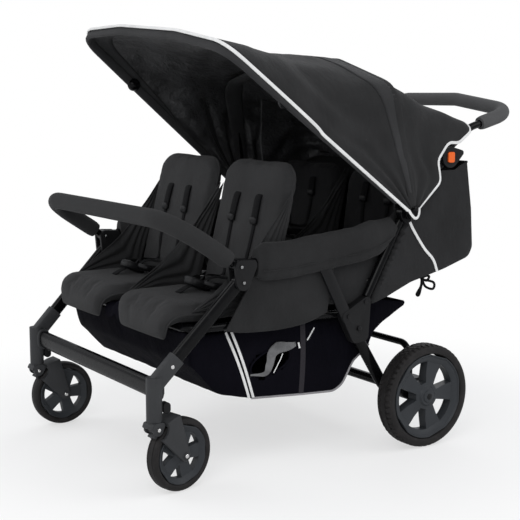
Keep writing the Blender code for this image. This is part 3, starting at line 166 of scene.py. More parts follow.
def wovenCloth(
    name, colour, pitch=0.0011, roughness=0.88, sheen=0.05, crease=0.5, creaseScale=16.0, gloss=0.14
):
    # a plain weave whose threads lie along the three axes, with soft creases and slight fading
    cloth = Finish(name, Sheen_Weight=sheen, Sheen_Roughness=0.45, Specular_IOR_Level=gloss)
    turns = 2 * math.pi / pitch
    x, y, z = [(axis * turns).sine() for axis in cloth.axes()]
    weave = x * y + y * z + z * x
    fibre = cloth.cloud(950.0, 2.0, 0.7)
    fading = cloth.cloud(9.0, 4.0, 0.6)
    shade = (fibre * 0.35 + fading * 0.65 + weave * 0.035).between(0.28, 0.72)
    folds = cloth.cloud(creaseScale, 3.0, 0.55, (1.0, 1.4, 0.8))
    normal = cloth.bumped(folds, crease, 0.010)
    normal = cloth.bumped(weave + fibre * 0.8, 0.22, 0.0007, normal)
    return cloth.dress(
        Base_Color=cloth.mixed(shade, scaled(colour, 0.78), scaled(colour, 1.25)),
        Roughness=roughness - fibre * 0.10,
        Normal=normal,
    )


def satinLining(name, colour):
    # a thin coated cloth, which shines along its creases. Its colour follows the folds, with painted shade in
    # their hollows and painted highlights on their ridges
    cloth = Finish(name, Sheen_Weight=0.03, Specular_IOR_Level=0.42)
    folds = cloth.cloud(15.0, 4.0, 0.6, (1.6, 0.9, 1.2))
    fine = cloth.cloud(420.0, 2.0, 0.5)
    normal = cloth.bumped(folds, 0.85, 0.014)
    normal = cloth.bumped(fine, 0.12, 0.0006, normal)
    return cloth.dress(
        Base_Color=cloth.mixed(folds.between(0.3, 0.7), scaled(colour, 0.7), scaled(colour, 1.5)),
        Roughness=0.34 + fine * 0.16,
        Normal=normal,
    )


def ribbedWeb(name, colour):
    web = Finish(name, Sheen_Weight=0.02, Specular_IOR_Level=0.06)
    x, y, z = web.axes()
    ribs = ((x + z * 0.3) * (2 * math.pi / 0.0016)).sine()
    fibre = web.cloud(1300.0, 2.0)
    return web.dress(
        Base_Color=web.mixed(fibre, scaled(colour, 0.7), scaled(colour, 1.5)),
        Roughness=0.66 + fibre * 0.16,
        Normal=web.bumped(ribs + fibre, 0.35, 0.0005),
    )


def bindingTape(name, colour):
    # the pale tape that binds the edges, with its ribs across
    tape = Finish(name, Sheen_Weight=0.2, Specular_IOR_Level=0.3)
    x, y, z = tape.axes()
    ribs = ((y + z) * (2 * math.pi / 0.0022)).sine()
    soil = tape.cloud(26.0, 4.0)
    return tape.dress(
        Base_Color=tape.mixed(soil.between(0.35, 0.8), colour, scaled(colour, 0.82)),
        Roughness=0.72,
        Normal=tape.bumped(ribs + tape.cloud(900.0), 0.25, 0.0005),
    )


def mouldedPlastic(name, colour, roughness, grain=0.14):
    # injection moulding with a fine spark-eroded grain and faint flow marks
    plastic = Finish(name, Specular_IOR_Level=0.18)
    texture = plastic.cloud(1500.0, 3.0, 0.6)
    flow = plastic.cloud(22.0, 4.0, 0.6)
    scuffs = plastic.cloud(120.0, 5.0, 0.75).between(0.60, 0.72)
    return plastic.dress(
        Base_Color=plastic.mixed(flow * 0.7 + scuffs * 0.3, scaled(colour, 0.86), scaled(colour, 1.2)),
        Roughness=roughness + texture * 0.10 + scuffs * 0.08,
        Normal=plastic.bumped(texture, grain, 0.0004),
    )


def coatedTube(name, colour):
    # gloss powder coat with a light orange peel
    paint = Finish(name, Specular_IOR_Level=0.06, Coat_Weight=0.12, Coat_Roughness=0.10)
    peel = paint.cloud(650.0, 2.0, 0.5)
    dust = paint.cloud(60.0, 5.0, 0.7).between(0.50, 0.75)
    return paint.dress(
        Base_Color=paint.mixed(dust, colour, scaled(colour, 1.9)),
        Roughness=0.26 + dust * 0.14,
        Normal=paint.bumped(peel, 0.06, 0.0004),
    )


def tyreRubber(name, colour):
    rubber = Finish(name, Specular_IOR_Level=0.20)
    grain = rubber.cloud(700.0, 3.0, 0.6)
    dust = rubber.cloud(38.0, 5.0, 0.65).between(0.42, 0.78)
    return rubber.dress(
        Base_Color=rubber.mixed(dust, colour, scaled(colour, 2.1)),
        Roughness=0.58 + dust * 0.22,
        Normal=rubber.bumped(grain, 0.25, 0.0005),
    )


def closedFoam(name, colour):
    # closed-cell foam, with its fine cells at the surface
    foam = Finish(name, Specular_IOR_Level=0.12, Sheen_Weight=0.04)
    cells = foam.cells(620.0)
    dents = foam.cloud(34.0, 3.0)
    normal = foam.bumped(dents, 0.25, 0.003)
    normal = foam.bumped(cells, 0.35, 0.0006, normal)
    shade = (cells + dents * 0.5).between(0.2, 0.9)
    return foam.dress(
        Base_Color=foam.mixed(shade, scaled(colour, 0.85), scaled(colour, 1.18)),
        Roughness=0.84 + cells * 0.08,
        Normal=normal,
    )


def brightSteel(name, colour):
    steel = Finish(name, Metallic=1.0, Specular_IOR_Level=0.5)
    lines = steel.cloud(240.0, 3.0, 0.6)
    return steel.dress(
        Base_Color=steel.mixed(lines, scaled(colour, 0.85), colour),
        Roughness=0.18 + lines * 0.14,
        Normal=steel.bumped(lines, 0.05, 0.0003),
    )


finishes = {
    "tube": coatedTube("gloss_black_coat", (0.0024, 0.0024, 0.0028)),
    "caster": mouldedPlastic("caster_grey_moulding", (0.036, 0.037, 0.039), 0.46),
    "joint": mouldedPlastic("joint_black_moulding", (0.0070, 0.0070, 0.0076), 0.42),
    "rim": mouldedPlastic("rim_grey_moulding", (0.033, 0.036, 0.040), 0.40),
    "tyre": tyreRubber("tyre_rubber", (0.012, 0.011, 0.011)),
    "button": mouldedPlastic("orange_button", (0.80, 0.135, 0.022), 0.32, 0.05),
    "barFoam": closedFoam("bar_foam", (0.0225, 0.0225, 0.0230)),
    "gripFoam": closedFoam("grip_foam", (0.070, 0.070, 0.071)),
    "seat": wovenCloth("seat_cloth", (0.0255, 0.0255, 0.0262), crease=0.35),
    "cover": wovenCloth("cover_cloth", (0.0185, 0.0185, 0.0190), crease=0.45),
    "hood": wovenCloth("hood_cloth", (0.0205, 0.0205, 0.0210), pitch=0.0009, crease=0.55, creaseScale=13.0),
    # the hood lining and curtain take painted shade and highlights along their folds
    "lining": satinLining("hood_lining", (0.026, 0.026, 0.027)),
    "tub": wovenCloth("tub_cloth", (0.0185, 0.0185, 0.0192), crease=0.55, creaseScale=12.0),
    "basket": wovenCloth(
        "basket_cloth", (0.0036, 0.0034, 0.0058),
        pitch=0.0008, roughness=0.80, sheen=0.0, crease=0.7, gloss=0.03,
    ),
    "web": ribbedWeb("harness_webbing", (0.0045, 0.0045, 0.0050)),
    "tape": bindingTape("white_binding", (0.78, 0.78, 0.77)),
    "greyTape": bindingTape("grey_binding", (0.26, 0.25, 0.26)),
    "steel": brightSteel("bright_steel", (0.72, 0.71, 0.70)),
    "dullSteel": brightSteel("dull_steel", (0.30, 0.30, 0.30)),
    # the silver flap's grey mottling along its folds is painted reflection
    "silver": satinLining("silver_lining", (0.115, 0.115, 0.118)),
    "strapTape": ribbedWeb("basket_strap_webbing", (0.026, 0.024, 0.028)),
    "band": wovenCloth("hood_band_cloth", (0.031, 0.031, 0.032), pitch=0.0009, crease=0.3),
    # the rear seats' cloth is the seat cloth at about half its colour: painted shade of the hood over them
    "shadeSeat": wovenCloth("rear_seat_cloth_painted_shade", (0.0125, 0.0125, 0.0132), crease=0.5, creaseScale=14.0),
    "gusset": wovenCloth("gusset_cloth", (0.024, 0.024, 0.0246), pitch=0.0008, crease=0.6, creaseScale=15.0),
}
print("finishes made")


# Curves and skins. A shape is a pair of lists, points and faces


def rounded(points, radius, steps=10):
    # a polyline with arcs of one radius for corners, and steps counted for a square corner
    points = [Vector(p) for p in points]
    route = [points[0]]
    for before, corner, after in zip(points, points[1:], points[2:]):
        toBefore = (before - corner).normalized()
        toAfter = (after - corner).normalized()
        half = toBefore.angle(toAfter) / 2
        reach = min(radius / math.tan(half), 0.48 * (before - corner).length, 0.48 * (after - corner).length)
        centre = corner + (toBefore + toAfter).normalized() * (reach / math.cos(half))
        start = corner + toBefore * reach - centre
        end = corner + toAfter * reach - centre
        sweep = start.angle(end)
        count = max(2, round(steps * sweep / math.radians(90)))
        for step in range(count + 1):
            share = step / count
            mix = start * math.sin((1 - share) * sweep) + end * math.sin(share * sweep)
            route.append(centre + mix / math.sin(sweep))
    route.append(points[-1])
    return route


def resampled(route, count):
    lengths = [0.0]
    for a, b in zip(route, route[1:]):
        lengths.append(lengths[-1] + (b - a).length)
    found = []
    leg = 0
    for index in range(count):
        along = lengths[-1] * index / (count - 1)
        while leg < len(route) - 2 and lengths[leg + 1] < along:
            leg += 1
        span = lengths[leg + 1] - lengths[leg]
        found.append(route[leg].lerp(route[leg + 1], (along - lengths[leg]) / span if span else 0.0))
    return found


def smoothCurve(points, count):
    # a Catmull-Rom curve through the points, evenly spaced
    points = [Vector(p) for p in points]
    ends = [2 * points[0] - points[1], *points, 2 * points[-1] - points[-2]]
    dense = []
    for a, b, c, d in zip(ends, ends[1:], ends[2:], ends[3:]):
        for step in range(12):
            t = step / 12
            square = (2 * a - 5 * b + 4 * c - d) * t**2
            cube = (3 * b - a - 3 * c + d) * t**3
            dense.append(0.5 * (2 * b + (c - a) * t + square + cube))
    dense.append(points[-1])
    return resampled(dense, count)


def trimmed(route, first, last):
    for length in (first, last):
        while (route[1] - route[0]).length < length:
            length -= (route[1] - route[0]).length
            route = route[1:]
        start = route[0].lerp(route[1], length / (route[1] - route[0]).length)
        route = [start, *route[1:]][::-1]
    return route


def mirrored(half):
    return [*half, *[Vector((-p.x, p.y, p.z)) for p in reversed(half)]]


def carriedFrames(route, across):
    found = []
    first = Vector(across)
    if abs((route[1] - route[0]).normalized().dot(first)) > 0.9:
        first = Vector((0, 0, 1))
    for index in range(len(route)):
        along = (route[min(index + 1, len(route) - 1)] - route[max(index - 1, 0)]).normalized()
        first = (first - along * first.dot(along)).normalized()
        found.append((first.copy(), along.cross(first)))
    return found


def oval(halfA, halfB, count, power=1.0):
    ring = []
    for index in range(count):
        angle = 2 * math.pi * (index + 0.5) / count
        a = math.copysign(abs(math.cos(angle)) ** power, math.cos(angle))
        b = math.copysign(abs(math.sin(angle)) ** power, math.sin(angle))
        ring.append((a * halfA, b * halfB))
    return ring


def skin(rings, capped=True, looped=False):
    # quads between closed rings of points, with caps
    count = len(rings[0])
    points = [p for ring in rings for p in ring]
    faces = []
    for row in range(len(rings) if looped else len(rings) - 1):
        low, high = row * count, (row + 1) % len(rings) * count
        for index in range(count):
            after = (index + 1) % count
            faces.append((low + index, low + after, high + after, high + index))
    if capped and not looped:
        faces.append(tuple(range(count))[::-1])
        faces.append(tuple(range(len(points) - count, len(points))))
    return points, faces


def sheetFrom(rows):
    # quads between open rows of points
    count = len(rows[0])
    points = [p for row in rows for p in row]
    faces = [
        (row * count + i, row * count + i + 1, (row + 1) * count + i + 1, (row + 1) * count + i)
        for row in range(len(rows) - 1)
        for i in range(count - 1)
    ]
    return points, faces


def swept(route, section, across=(1, 0, 0), sizes=None):
    rings = []
    for index, (point, (first, second)) in enumerate(zip(route, carriedFrames(route, across))):
        size = sizes(index / (len(route) - 1)) if sizes else 1.0
        rings.append([point + first * (a * size) + second * (b * size) for a, b in section])
    return skin(rings)


def lofted(first, last, count, start=0.0):
    # rows that pass from one curve to another
    shares = [start + (1 - start) * step / count for step in range(count + 1)]
    return [[a.lerp(b, share) for a, b in zip(first, last)] for share in shares]


def tube(route, radius, count=24):
    return swept(route, oval(radius, radius, count))


def turned(profile, segments=64, closed=False):
    # a profile of (radius, x) turned about the X axis
    rings = []
    for step in range(segments):
        turn = 2 * math.pi * step / segments
        rings.append([Vector((x, r * math.cos(turn), r * math.sin(turn))) for r, x in profile])
    points = [p for ring in rings for p in ring]
    count = len(profile)
    faces = []
    for step in range(segments):
        low, high = step * count, (step + 1) % segments * count
        for index in range(count if closed else count - 1):
            after = (index + 1) % count
            faces.append((low + index, high + index, high + after, low + after))
    return points, faces


def disc(radius, low, high, centre=(0.0, 0.0), edge=0.0008, segments=32):
    # a short cylinder along X with softened rims
    low, high = sorted((low, high))
    profile = (
        (0.0, low), (radius - edge, low), (radius, low + edge),
        (radius, high - edge), (radius - edge, high), (0.0, high),
    )
    return placed(turned(profile, segments), yz(centre))


def placed(shape, offset, turn=None):
    matrix = Matrix.Translation(Vector(offset))
    if turn is not None:
        matrix = matrix @ turn
    return [matrix @ Vector(p) for p in shape[0]], shape[1]


def flipped(shape, side):
    if side > 0:
        return shape
    return [Vector((-p.x, p.y, p.z)) for p in shape[0]], [face[::-1] for face in shape[1]]


def together(*shapes):
    points = []
    faces = []
    for shape in shapes:
        faces += [tuple(index + len(points) for index in face) for face in shape[1]]
        points += shape[0]
    return points, faces


def yz(place, x=0.0):
    return Vector((x, place[0], place[1]))


def heading(angle):
    return Vector((0, math.cos(angle), math.sin(angle)))


def meshOf(name, shape, forward=0.0, welded=False):
    bm = bmesh.new()
    verts = [bm.verts.new((p.x, p.y + forward, p.z)) for p in shape[0]]
    for face in shape[1]:
        corners = [verts[index] for index in dict.fromkeys(face)]
        if len(corners) > 2:
            try:
                bm.faces.new(corners)
            except ValueError:
                pass  # a face that is there already
    if welded:
        bmesh.ops.remove_doubles(bm, verts=bm.verts, dist=1e-6)
    bmesh.ops.recalc_face_normals(bm, faces=bm.faces)
    mesh = bpy.data.meshes.new(name)
    bm.to_mesh(mesh)
    bm.free()
    return mesh


def linked(name, data):
    obj = bpy.data.objects.new(name, data)
    bpy.context.scene.collection.objects.link(obj)
    return obj


def softened(obj, width, degrees):
    # small rounds on the edges that turn by more than this angle
    edge = obj.modifiers.new("edges", "BEVEL")
    edge.width = width
    edge.segments = 3
    edge.limit_method = "ANGLE"
    edge.angle_limit = math.radians(degrees)
    edge.harden_normals = True


def addPiece(name, shape, finish, body, stands=(), sharp=40.0, thick=0.0, bevel=0.0, rounds=0):
    # one piece of the dressed model, in the drawing's frame, riding on a body
    mesh = meshOf(name, shape, shift, welded=True)
    mesh.shade_smooth()
    mesh.set_sharp_from_angle(angle=math.radians(sharp))
    mesh.materials.append(finishes[finish])
    obj = linked(name, mesh)
    if thick:
        solid = obj.modifiers.new("thickness", "SOLIDIFY")
        solid.thickness = thick
        solid.offset = 0.0
    if bevel:
        softened(obj, bevel, 28)
    if rounds:
        fine = obj.modifiers.new("fine", "SUBSURF")
        fine.levels = rounds
        fine.render_levels = rounds
    if body:
        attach(obj, body)
    if stands:
        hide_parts(*stands)
    return obj


# Camera, floor and lamps


def addStage():
    view = {"place": (2.474, -1.657, 0.878), "down": 8.25, "turn": 56.5, "focal": 79.4}
    lens = bpy.data.cameras.new("camera")
    lens.lens = view["focal"]
    lens.sensor_width = 36.0
    camera = linked("camera", lens)
    camera.location = Vector(view["place"]) + Vector((0, shift, 0))
    camera.rotation_euler = (math.radians(90 - view["down"]), 0.0, math.radians(view["turn"]))
    bpy.context.scene.camera = camera
    bpy.context.scene.view_settings.view_transform = "Standard"

    lamps = (
        # place, aimed at, width, watts
        ((2.6, -2.6, 3.0), (0, 0, 0.5), 2.6, 62.0),
        ((-2.2, -2.6, 2.4), (0, 0, 0.5), 2.4, 30.0),
        ((2.4, 2.2, 2.6), (0, 0.1, 0.6), 2.4, 34.0),
        ((-2.4, 2.4, 2.2), (0, 0, 0.5), 2.2, 20.0),
    )
    for index, (place, target, width, power) in enumerate(lamps):
        data = bpy.data.lights.new(f"lamp_{index}", "AREA")
        data.size = width
        data.energy = power
        lamp = linked(f"lamp_{index}", data)
        lamp.location = place
        lamp.rotation_euler = (Vector(target) - Vector(place)).to_track_quat("-Z", "Y").to_euler()

    world = bpy.data.worlds.new("studio")
    world.use_nodes = True
    tree = world.node_tree
    tree.nodes.clear()
    path = tree.nodes.new("ShaderNodeLightPath")
    seen = tree.nodes.new("ShaderNodeMath")
    seen.operation = "MAXIMUM"
    tree.links.new(path.outputs["Is Camera Ray"], seen.inputs[0])
    tree.links.new(path.outputs["Is Transmission Ray"], seen.inputs[1])
    ambient = tree.nodes.new("ShaderNodeBackground")
    ambient.inputs["Color"].default_value = (0.94, 0.96, 1.0, 1.0)
    ambient.inputs["Strength"].default_value = 0.62
    white = tree.nodes.new("ShaderNodeBackground")
    white.inputs["Color"].default_value = (1.0, 1.0, 1.0, 1.0)
    mix = tree.nodes.new("ShaderNodeMixShader")
    out = tree.nodes.new("ShaderNodeOutputWorld")
    tree.links.new(seen.outputs[0], mix.inputs[0])
    tree.links.new(ambient.outputs[0], mix.inputs[1])
    tree.links.new(white.outputs[0], mix.inputs[2])
    tree.links.new(mix.outputs[0], out.inputs[0])
    bpy.context.scene.world = world

    floorSize = {"half": 9.0, "fadeFrom": 0.62, "fadeTo": 1.35, "below": 0.0004, "glow": 0.58}
    half = floorSize["half"]
    mesh = bpy.data.meshes.new("floor")
    corners = [(-half, -half, 0), (half, -half, 0), (half, half, 0), (-half, half, 0)]
    mesh.from_pydata(corners, [], [(0, 1, 2, 3)])
    floor = linked("floor", mesh)
    floor.location.z = -floorSize["below"]
    paper = Finish("pale_floor", Base_Color=(0.92, 0.92, 0.915), Roughness=0.9)
    x, y, z = paper.axes()
    away = ((x * x + y * y) ** 0.5).between(floorSize["fadeFrom"], floorSize["fadeTo"])
    glow = paper.node("Emission", {}, {"Color": (1.0, 1.0, 1.0), "Strength": 1.0})
    rays = paper.node("LightPath", output=0)
    share = (away * (1 - floorSize["glow"]) + floorSize["glow"]) * rays
    lit = Wire(paper, paper.shader.outputs[0])
    shown = paper.node("MixShader", {}, {0: share, 1: lit, 2: glow})
    paper.tree.links.new(shown.socket, paper.tree.nodes["Material Output"].inputs[0])
    mesh.materials.append(paper.material)


addStage()
print("stage made")


# The frame's tubes

side = {
    "x": 0.340,
    "tube": 0.011,
    "thin": 0.0095,
    "hood": (0.174, 0.589),
    "hub": 0.022,
    "hubFace": 0.3603,
    "cap": 0.3792,
    "capThick": 0.0043,
    "capRadius": 0.0120,
    "spindle": 0.0048,
    "handle": (0.312, 0.722),
    "drum": 0.0262,
    "bumper": (-0.306, 0.498),
    "leg": (-0.300, 0.462),
    "plate": (0.034, 0.320),
    "plateHalf": 0.011,
    "plateTop": (0.057, 0.383),
    "plateRound": 0.012,
    "plateEye": 0.020,
    "plateBolt": 0.005,
    "plateHead": 0.0062,
    "railStart": (-0.2637, 0.502),
    "railVia": ((-0.17, 0.502), (0.03, 0.522), (0.115, 0.542)),
    "eye": 0.0105,
}
axle = {
    "y": axleDesignY, "wheel": 0.130, "tube": 0.0125, "stub": 0.008, "end": 0.3775,
    "legX": 0.3198, "footX": 0.308, "knee": (0.145, 0.152), "legWide": 0.0090, "legDeep": 0.0145,
    "bracket": 0.024, "bracketHalf": 0.019, "nose": 0.018, "stayZ": 0.250, "stay": 0.0085,
}
crossTubes = {
    "seat": ((0.004, 0.354), (-0.100, 0.3573), (-0.415, 0.3603)), "seatBend": 0.05, "stayBend": 0.035,
    "frontY": -0.5015, "frontZ": 0.240, "front": (0.0215, 0.0125),
}
stem = {"x": 0.326, "y": -0.5115, "deep": 0.0165, "wide": 0.01, "turn": math.radians(10.8), "radius": 0.0178}


def boltHead(radius, x, y, z, hand, proud=0.0016):
    # a domed steel rivet whose head faces out along X
    profile = (
        (0.0, proud), (radius * 0.55, proud * 0.86), (radius * 0.88, proud * 0.45),
        (radius, 0.0), (radius, -0.0008), (0.0, -0.0008),
    )
    return placed(flipped(turned(profile, 24), hand), (x, y, z))


def pusherRoute(hand):
    hub = Vector(side["hood"])
    corner = Vector(side["plateTop"])
    start = corner + (hub - corner).normalized() * (side["plateRound"] + gap)
    drum = Vector(side["handle"])
    top = drum + (hub - drum).normalized() * (side["drum"] - 0.006)
    return rounded([yz(p, hand * side["x"]) for p in (start, hub, top)], 0.30, 24)


def railRoute(hand):
    points = [side["railStart"], *side["railVia"], side["hood"]]
    return rounded([yz(p, hand * side["x"]) for p in points], 0.20, 24)


def legLine(hand):
    drop = side["leg"][0] - stem["y"] - 0.004
    root = Vector((hand * stem["x"], stem["y"] + 0.004, side["leg"][1] - drop))
    return yz(side["leg"], hand * side["x"]), root


def addSides():
    for hand, word in sides:
        hub = side["hood"]
        x = hand * side["x"]
        cap = hand * side["cap"]
        pusher = together(
            tube(pusherRoute(hand), side["tube"], 32),
            disc(side["hub"], x, hand * side["hubFace"], hub, 0.0015, 40),
            disc(side["spindle"], x, cap + hand * 0.002, hub),
            disc(side["capRadius"], cap, cap + hand * side["capThick"], hub, 0.0016, 40),
        )
        addPiece(word + "_pusher", pusher, "tube", "frame", [word + "_pusher_tube"])
        rail = tube(railRoute(hand)[:-1], side["tube"], 32)
        addPiece(word + "_rail", rail, "tube", "frame", [word + "_side_rail"])

        top, root = legLine(hand)
        foot = root.lerp(top, 0.25)
        slope = (top - foot).normalized()
        section = oval(stem["wide"], stem["deep"], 32, 0.8)
        leg = together(
            swept([foot - slope * 0.006, foot.lerp(top, 0.5), top - slope * 0.010], section),
            disc(stem["deep"] + 0.0007, x - side["eye"], x + side["eye"], side["leg"], 0.0015, 40),
        )
        addPiece(word + "_front_leg_tube", leg, "tube", "front_legs", [word + "_front_leg"])

        knee = yz(axle["knee"], hand * (axle["footX"] + 0.004))
        end = yz((axle["y"], axle["wheel"]), hand * axle["footX"])
        line = rounded([yz(side["plate"], hand * axle["legX"]), knee, end], 0.05, 14)
        legX = hand * axle["legX"]
        reach = side["x"] - side["plateHalf"] - 0.0005 - axle["legX"]
        outer = hand * (side["x"] + side["plateHalf"] + 0.003)
        rearLeg = together(
            swept(line, oval(axle["legWide"], axle["legDeep"], 28, 0.8)),
            disc(side["plateEye"], legX - reach, legX + reach, side["plate"], 0.0012, 36),
            disc(side["plateBolt"], legX, outer, side["plate"]),
        )
        addPiece(word + "_rear_leg_tube", rearLeg, "tube", "rear_legs", [word + "_rear_leg"])
        rings = []
        ahead = (axle["y"] - 0.020, axle["wheel"] + 0.004)
        for inset, grow in ((-1.0, -0.0025), (-0.85, 0.0), (0.85, 0.0), (1.0, -0.0025)):
            across = hand * axle["footX"] + inset * axle["bracketHalf"]
            outline = capsule((axle["y"], axle["wheel"]), ahead, axle["bracket"] + grow, axle["nose"] + grow)
            rings.append([yz(place, across) for place in outline])
        addPiece(word + "_axle_bracket", skin(rings), "joint", "rear_legs")
        bolt = boltHead(side["plateHead"], outer, *side["plate"], hand)
        addPiece(word + "_plate_bolt", bolt, "joint", "rear_legs")


def capsule(first, second, firstRadius, secondRadius, steps=24):
    # the outline that wraps round two circles in the side view
    cloud = []
    for centre, radius in ((first, firstRadius), (second, secondRadius)):
        for step in range(steps):
            turn = 2 * math.pi * step / steps
            cloud.append((centre[0] + radius * math.cos(turn), centre[1] + radius * math.sin(turn)))
    cloud.sort()
    outline = []
    for run in (cloud, cloud[::-1]):
        hull = []
        for point in run:
            while len(hull) > 1:
                (ay, az), (by, bz) = hull[-2], hull[-1]
                if (by - ay) * (point[1] - az) - (bz - az) * (point[0] - ay) > 1e-9:
                    break
                hull.pop()
            hull.append(point)
        outline += hull[:-1]
    return outline


def addCrossTubes():
    x = side["x"] - side["plateHalf"] - gap - side["thin"]
    half = [yz(place, x) for place in crossTubes["seat"]]
    seatTube = tube(rounded(mirrored(half), crossTubes["seatBend"], 14), side["thin"])
    addPiece("seat_frame_tube", seatTube, "tube", "frame", ["seat_tube"])

    foot = axle["wheel"] + axle["bracket"] + gap
    half = [Vector((axle["footX"], axle["y"], z)) for z in (foot, axle["stayZ"])]
    stay = tube(rounded(mirrored(half), crossTubes["stayBend"], 14), axle["stay"])
    addPiece("rear_stay_tube", stay, "tube", "rear_legs", ["rear_stay"])

    shoulder = axle["footX"] + axle["bracketHalf"] + 0.0015
    half = [(axle["tube"], shoulder), (axle["stub"], shoulder), (axle["stub"], axle["end"]), (0, axle["end"])]
    profile = [*[(radius, -x) for radius, x in reversed(half)], *half]
    bar = placed(turned(profile, 40), yz((axle["y"], axle["wheel"])))
    addPiece("rear_axle_bar", bar, "tube", "rear_legs", ["rear_axle"])

    reach = stem["x"] - stem["radius"] - 0.010 - gap
    route = [Vector((x, crossTubes["frontY"], crossTubes["frontZ"])) for x in (-reach, 0, reach)]
    flat = swept(route, oval(*crossTubes["front"], 40, 0.7), (0, 0, 1))
    addPiece("front_cross_tube", flat, "tube", "front_legs", ["front_axle_tube"])


addSides()
addCrossTubes()
print("frame tubes made")


# Push handle, bumper bar and their foam

handle = {
    "x": 0.3165, "start": 0.158, "grip": 0.0180, "rearY": 0.561, "rearZ": 0.833, "arch": 0.030, "bend": 0.065,
    "eye": 0.0225, "eyeFrom": 0.3075, "eyeTo": 0.3265,
}
bumper = {"frontY": -0.470, "topZ": 0.607, "corner": 0.095, "foam": 0.021, "bare": 0.027, "eye": 0.0145}


def handleRoute():
    half = [
        yz(side["handle"], handle["x"]),
        Vector((handle["x"], 0.414, 0.794)),
        Vector((handle["x"], handle["rearY"], handle["rearZ"])),
        Vector((0.10, handle["rearY"] + 0.004, handle["rearZ"] + handle["arch"])),
    ]
    return rounded(mirrored(half), handle["bend"], 16)


def bumperRoute():
    half = [yz(side["bumper"], side["x"]), Vector((side["x"], bumper["frontY"], bumper["topZ"]))]
    return rounded(mirrored(half), bumper["corner"], 20)


def foamSleeve(route, radius, count=120):
    # the foam's ends are drawn in a little round the tube
    route = resampled(route, count)

    def size(share):
        fromEnd = min(share, 1 - share) * count
        return 0.90 + 0.10 * min(1.0, fromEnd / 1.6) ** 0.5

    return swept(route, oval(radius, radius, 28), sizes=size)


def addHandle():
    tubes = [tube(handleRoute(), side["thin"])]
    for hand in (1, -1):
        start, end = hand * handle["eyeFrom"], hand * handle["eyeTo"]
        tubes.append(disc(handle["eye"], start, end, side["handle"], 0.0015, 40))
    addPiece("handle_bar", together(*tubes), "tube", "handle", ["handle_tube"])
    foam = foamSleeve(trimmed(handleRoute(), handle["start"], handle["start"]), handle["grip"])
    addPiece("handle_foam", foam, "gripFoam", "handle", ["handle_grip"])

    tubes = [tube(bumperRoute(), side["thin"])]
    for x in (side["x"], -side["x"]):
        tubes.append(disc(bumper["eye"], x - side["eye"], x + side["eye"], side["bumper"], 0.0012, 36))
    addPiece("bumper_bar", together(*tubes), "tube", "bumper", ["bumper_tube"])
    foam = foamSleeve(trimmed(bumperRoute(), bumper["bare"], bumper["bare"]), bumper["foam"])
    addPiece("bumper_sleeve", foam, "barFoam", "bumper", ["bumper_foam"])


addHandle()
print("handle and bumper made")


# Wheels

rearWheel = {
    "radius": 0.130, "half": 0.026, "rim": 0.106, "hub": 0.022, "inner": 0.034, "outer": 0.087,
    "x": 0.360, "blocks": 54, "tread": 0.0030,
}
frontWheel = {
    "radius": 0.0835, "half": 0.017, "rim": 0.0675, "hub": 0.015, "inner": 0.024, "outer": 0.054,
    "trail": 0.069, "armFace": 0.0292, "pin": (0.0203, -0.002, 0.155),
}


def spokedRim(profile, front, back, spokes, width, stations, inner, taper=0.0):
    # a turned rim with windows between its spokes, from the profile's row front to its row back
    sector = 2 * math.pi / spokes
    total = spokes * stations
    rings = []
    for radius, x in profile:
        spoke = sector / 2 / stations
        if radius >= inner - 1e-9:
            spoke = math.asin(min(0.95, (width / 2 + taper * (radius - inner)) / max(radius, 1e-6)))
        ring = []
        for index in range(spokes):
            for station in range(stations):
                share = max(0, station - 1) / (stations - 1)
                turn = index * sector + (spoke + share * (sector - 2 * spoke) if station else -spoke)
                ring.append(Vector((x, radius * math.cos(turn), radius * math.sin(turn))))
        rings.append(ring)
    points = [p for ring in rings for p in ring]

    def quad(near, far, index):
        after = (index + 1) % total
        return near * total + index, near * total + after, far * total + after, far * total + index

    faces = []
    for row in range(len(rings) - 1):
        window = front <= row < front + 2 or back <= row < back + 2
        faces += [quad(row, row + 1, index) for index in range(total) if not (window and index % stations)]
    for near, far in ((front, back + 2), (front + 2, back)):
        faces += [quad(near, far, index) for index in range(total) if index % stations]
    for index in range(spokes):
        for edge in (index * stations, index * stations + 1):
            for near, far in ((front, back + 2), (front + 1, back + 1)):
                faces.append(tuple(row * total + edge for row in (near, near + 1, far - 1, far)))
    return points, faces


def wheelSizes(wheel):
    return [wheel[key] for key in ("half", "rim", "hub", "inner", "outer")]


def rearRim():
    half, rim, hub, inner, outer = wheelSizes(rearWheel)
    middle = (inner + outer) / 2
    profile = (
        (0.0, half + 0.0015), (0.012, half + 0.0010), (0.0155, half - 0.0005), (0.016, half - 0.003),
        (hub, half - 0.0035), (hub + 0.004, half - 0.008), (inner, half - 0.0100), (middle, half - 0.0135),
        (outer, half - 0.0125), (outer + 0.008, half - 0.0065), (0.1005, half - 0.0050),
        (0.1035, half - 0.0010), (rim, half - 0.0020), (rim, 0.002 - half), (0.100, 0.005 - half),
        (outer + 0.003, 0.012 - half), (outer, 0.014 - half), (middle, 0.013 - half), (inner, 0.012 - half),
        (hub, -half), (0.0088, -half), (0.0088, 0.010), (0.0, 0.010),
    )
    return spokedRim(profile, 6, 16, 5, 0.0260, 12, inner, 0.20)


